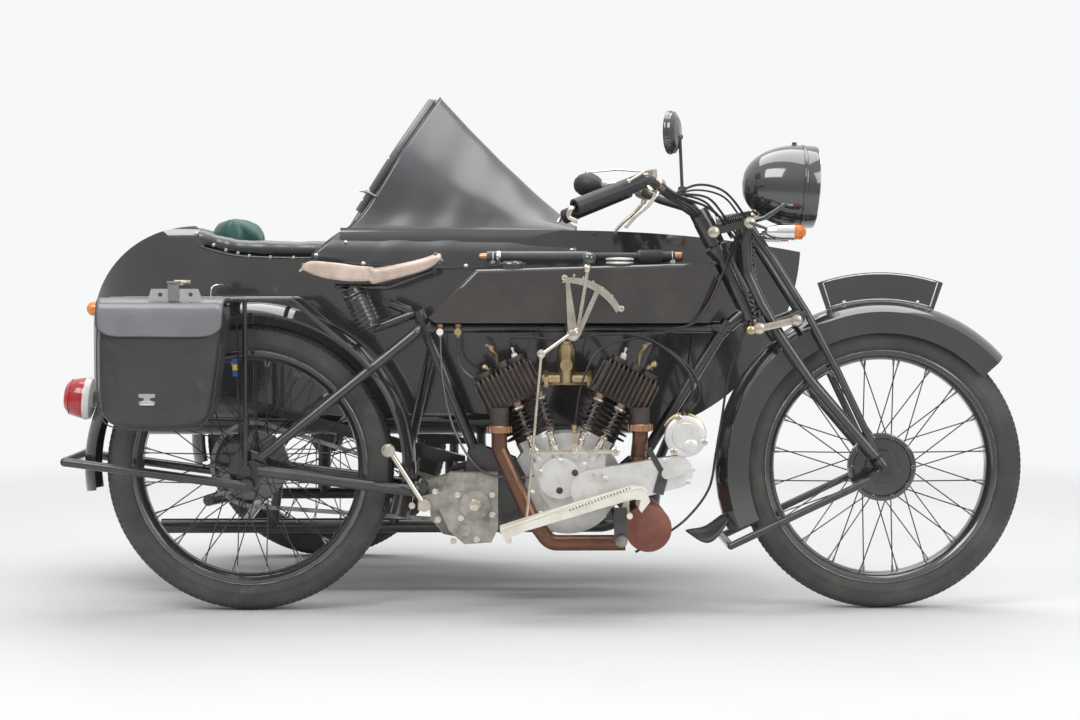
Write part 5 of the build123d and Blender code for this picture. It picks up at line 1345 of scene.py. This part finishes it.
# The stay that crosses the chain cover
motor.block(at(982, -119.5, 372), (14, 3.5, 74), axes=tilted(0.86, 0.5), slot=BLACK, bevel=1)
motor.block(at(996, -120.5, 322), (26, 3.5, 60), axes=tilted(0.96, -0.26), slot=BLACK, bevel=1)
# Carburettor: unions, its top's nut and lever
for x in (716, 822):
    motor.nut(at(x, -20, 566), AHEAD, 38, 12, BRASS, dome=False, washer=False)
motor.nut(at(770, -20, 640), UP, 30, 11, BRASS, dome=False, washer=False)
motor.revolve(at(770, -20, 655), UP, [(-6, 12), (3, 12), (5, 4), (14, 4), (15, 0)], 18, BRASS)
motor.tube(curve([at(770, -20, 668), at(768, -34, 690), at(772, -40, 708)], 6), 2.4, 7, BLACK)
# Petrol taps under the tank
for x, z in ((463.6, 700), (507, 700)):
    motor.revolve(at(x, -46, z), DOWN, [(0, 9), (7, 9), (8, 6.5), (15, 6.5), (16, 9), (24, 9), (25, 5), (33, 5),
                                        (33, 0)], 16, COPPER)
    motor.revolve(at(x, -46, z - 19), NEAR, [(0, 5), (12, 5), (13, 8.5), (18, 8.5), (19, 0)], 14,
                  WHITE if x < 480 else BRASS)
motor.tube(curve([at(507, -46, 668), at(512, -44, 600), at(560, -36, 560), at(640, -28, 548), at(700, -22, 552),
                  at(742, -20, 560)], 8), 3.2, 8, BLACK)
motor.tube(curve([at(463.6, -46, 668), at(470, -60, 560), at(500, -70, 440), at(560, -84, 350),
                  at(640, -100, 330), at(690, -104, 336)], 8), 2.8, 8, BLACK)
# Kick-starter's pad and the gearbox's screws
motor.revolve(at(341, -118, 399), (0.3, -1, 0), [(-10, 0), (-10, 13), (-8, 14.5), (12, 14.5), (14, 13),
                                                 (14, 0)], 24, NICKEL)
for x, z in ((590, 288), (506, 288), (514, 232), (590, 240), (458, 228), (452, 296), (396, 262), (552, 180),
             (496, 176)):
    motor.nut(at(x, -80, z), NEAR, 11, 5, NICKEL)
for x, z, r in ((548, 264, 17), (427, 266, 9)):
    motor.nut(at(x, -84, z), NEAR, 1.5 * r, 8, NICKEL)
motor.make("engine-fittings", [iron, nickel, brass, porcelain, aluminium, copper, frame_black], "frame")


# Footboards
boards = Builder()
board_way = Vector((260, 0, 94)).normalized()
board_up = Vector((-board_way.z, 0, board_way.x))
for side in (-1, 1):
    # Dark dashes sunk into each board's outer edge are painted shade standing for its slots.
    for k in range(20):
        spot = at(770, side * 270.6, 274) + board_way * (0.0078 * k)
        boards.block(spot - board_up * 0.003, (2.2, 1.6, 5.2), axes=tilted(board_way.x, board_way.z), slot=1)
    boards.tube(curve([at(610, side * 268, 224), at(664, side * 269, 243), at(800, side * 269, 291),
                       at(924, side * 269, 321), at(950, side * 269, 315)], 8), 2.4, 8, 0)
    boards.nut(at(892, side * 258, 196), (0, side, 0), 20, 7, 2)
    boards.block(at(890, side * 246, 232), (30, 5, 84), slot=3, bevel=1.5)
boards.make("footboard-slot-shade-and-edging", [cream, frame_black, steel, frame_black], "frame")


# Cables
def wire(name, points, radius, material, body, crossing=None, steps=10):
    """A cable or lead through points of the source; one that crosses a joint rides on no body, its place baked
    into its mesh.
    """
    line = Builder()
    line.tube(curve([at(*p) for p in points], steps), radius, 8)
    piece = line.make(name, material, None if crossing else body)
    if crossing:
        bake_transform(piece)
    return piece


for number, points in enumerate((
    [(1010, -136, 1006), (1052, -110, 1012), (1110, -86, 1004), (1150, -70, 962), (1180, -62, 918)],
    [(1008, -128, 1004), (1060, -100, 1000), (1124, -74, 974), (1160, -62, 930), (1186, -58, 900)],
    [(1012, 128, 1006), (1062, 100, 1018), (1120, 74, 1000), (1158, 62, 950), (1184, 58, 910)],
    [(1022, -120, 1010), (1086, -84, 1036), (1150, -62, 1022), (1196, -50, 972), (1214, -48, 930)],
    [(1048, -80, 1000), (1104, -60, 986), (1150, -50, 950), (1180, -48, 905)],
    [(1030, 110, 1008), (1090, 70, 1030), (1160, 50, 1014), (1206, 44, 960)],
)):
    wire(f"bar-cable-{number + 1}", points, 3.0 if number < 4 else 2.4, cable_black, "fork")
brake = [(1202, -98, 696), (1180, -96, 640), (1157, -94, 560), (1145, -94, 481), (1130, -94, 390),
         (1113, -94, 303), (1061, -96, 233), (1000, -100, 188), (961, -104, 166), (935, -110, 152)]
wire("front-brake-cable", brake, 3.0, cable_black, "frame", (at(1202, -98, 690), at(1120, -94, 350)))
for number, points in enumerate((
    [(1180, -56, 908), (1160, -52, 850), (1120, -62, 760), (1080, -70, 704), (1000, -64, 688), (880, -52, 694),
     (800, -44, 692), (772, -34, 672)],
    [(1186, -50, 896), (1150, -46, 820), (1108, -56, 740), (1050, -72, 690), (940, -80, 668), (850, -96, 640),
     (806, -104, 560), (788, -104, 456)],
    [(1184, 50, 900), (1150, 46, 820), (1100, 56, 730), (1080, 66, 620), (1070, 60, 520), (1060, 20, 482)],
)):
    wire(f"control-cable-{number + 1}", points, 2.6, cable_black, "frame", (at(1184, 0, 900), at(1110, 0, 745)))
for number, points in enumerate((
    [(1060, -76, 482), (1090, -76, 520), (1078, -72, 580), (1020, -70, 636), (960, -68, 664), (916, -66, 672)],
    [(1048, -84, 482), (1074, -86, 540), (1050, -84, 604), (960, -80, 668), (860, -76, 676), (760, -72, 662),
     (690, -66, 668), (632, -64, 668)],
)):
    wire(f"plug-lead-{number + 1}", points, 3.6, cable_black, "frame")
link = Builder()
link_way = Vector((89.8, 0, 19.9)).normalized()
link.block(at(1272, -102.6, 699), (128, 3.6, 17), axes=tilted(link_way.x, link_way.z), slot=0, bevel=1.6)
link.revolve(at(1212, -101, 686), NEAR, [(0, 0), (0, 10), (7, 10), (9, 7), (9, 0)], 20, 1)
link.make("fork-link-plate", [nickel, brass], "fork")
wire("carrier-wire", [(-20, -111, 700), (-16, -113, 640), (-18, -112, 560), (-12, -110, 470), (-8, -108, 380)],
     2.2, cable_black, "frame")


# Plate, mudflap, horn and the body's trim
plate = Builder()
arc = [math.radians(109.0 - 38.0 * k / 24) for k in range(25)]  # the plate's top edge, from its rear end
for side in (-1, 1):
    outer = [at(WHEELBASE + PLATE_OUTER * math.cos(a), side * 2.6, TYRE_RADIUS + PLATE_OUTER * math.sin(a))
             for a in arc[1:-1]]
    inner = [at(WHEELBASE + PLATE_INNER * math.cos(a), side * 2.6, TYRE_RADIUS + PLATE_INNER * math.sin(a))
             for a in reversed(arc[1:-1])]
    plate.tube(outer + inner, 1.5, 6, 0, closed=True)
for a in (arc[4], arc[-5]):
    plate.nut(at(WHEELBASE + 412 * math.cos(a), -3, 350 + 412 * math.sin(a)), NEAR, 9, 4, 1, washer=False)
plate.make("front-plate-edge", [white_paint, nickel], "fork")

flap_points = []
flap_rows, flap_columns = 14, 16
for r in range(flap_rows + 1):
    t = r / flap_rows
    x, z = 1166 - 100 * t, 236 - 46 * t - 10 * math.sin(math.pi * t)
    half = 50 * math.sin(math.pi * min(1.0, 0.22 + 0.72 * t)) ** 0.7
    for c in range(flap_columns + 1):
        u = 2 * c / flap_columns - 1
        flap_points.append(at(x + 6 * u * u, half * u,
                              z - 34 * u * u * math.sin(math.pi * (0.1 + 0.85 * t)) + 1.5 * math.sin(9 * t)))
flap_build = Builder()
flap_build.add(flap_points, grid_faces(flap_rows, flap_columns))
mudflap = flap_build.make("front-mudflap", pannier_hide, "fork", sharp=80)
thicken(mudflap, 0.0035, 0.0)

horn = Builder()
horn_centre = at(838, 252, 1052)
horn_way = Vector((157, -104, 0)).normalized()
horn.revolve(horn_centre, horn_way, [(-41, 0), (-40, 8), (-34, 19), (-22, 27), (-6, 30.5), (10, 29), (24, 22),
                                     (34, 14), (40, 10), (44, 9), (44, 0)], 36, 0)
horn.revolve(horn_centre, horn_way, [(42, 0), (42, 11), (46, 12.5), (52, 12), (56, 8), (62, 6), (62, 0)], 24, 1)
horn.tube(curve([horn_centre + horn_way * 0.06, horn_centre + horn_way * 0.1, at(955, 190, 1058),
                 at(982, 180, 1042)], 8), 5.0, 10, 1)
horn.revolve(at(972, 208, 1031), Vector((59, -102, -33)), [(-9, 13), (-9, 17.5), (9, 17.5), (9, 13)], 24, 1)
horn.make("horn-bulb", [grip_rubber, nickel], "fork")

def tail_half(x):
    """Half the width of the body's deck at a place on its tail."""
    if x > -130:
        return BODY_HALF
    if x > -400:
        return BODY_HALF - 80 * ((-130 - x) / 270) ** 1.4
    return 205 - 60 * ((-400 - x) / 96)


trim = Builder()
bead = [(-210, 945), (-260, 935), (-320, 912), (-380, 872)]
for side in (-1, 1):
    line = []
    for x, z in bead:
        half = tail_half(x)
        line.append(at(x, BODY_Y + side * (half - 17), z - 15))
    trim.tube(curve(line, 8), 3.4, 8, 0)
for side in (-1, 1):
    for x, z in ((-214, 800),):
        trim.block(at(x, BODY_Y + side * 286.5, z), (44, 5, 15), slot=1, bevel=1.6)
        trim.block(at(x + 8, BODY_Y + side * 290.5, z), (22, 5, 9), slot=1, bevel=1.4)
        trim.revolve(at(x - 14, BODY_Y + side * 288, z), (0, side, 0), [(0, 0), (0, 4), (2, 3), (3, 0)], 12, 1)
trim.make("sidecar-trim", [black, nickel], "frame")
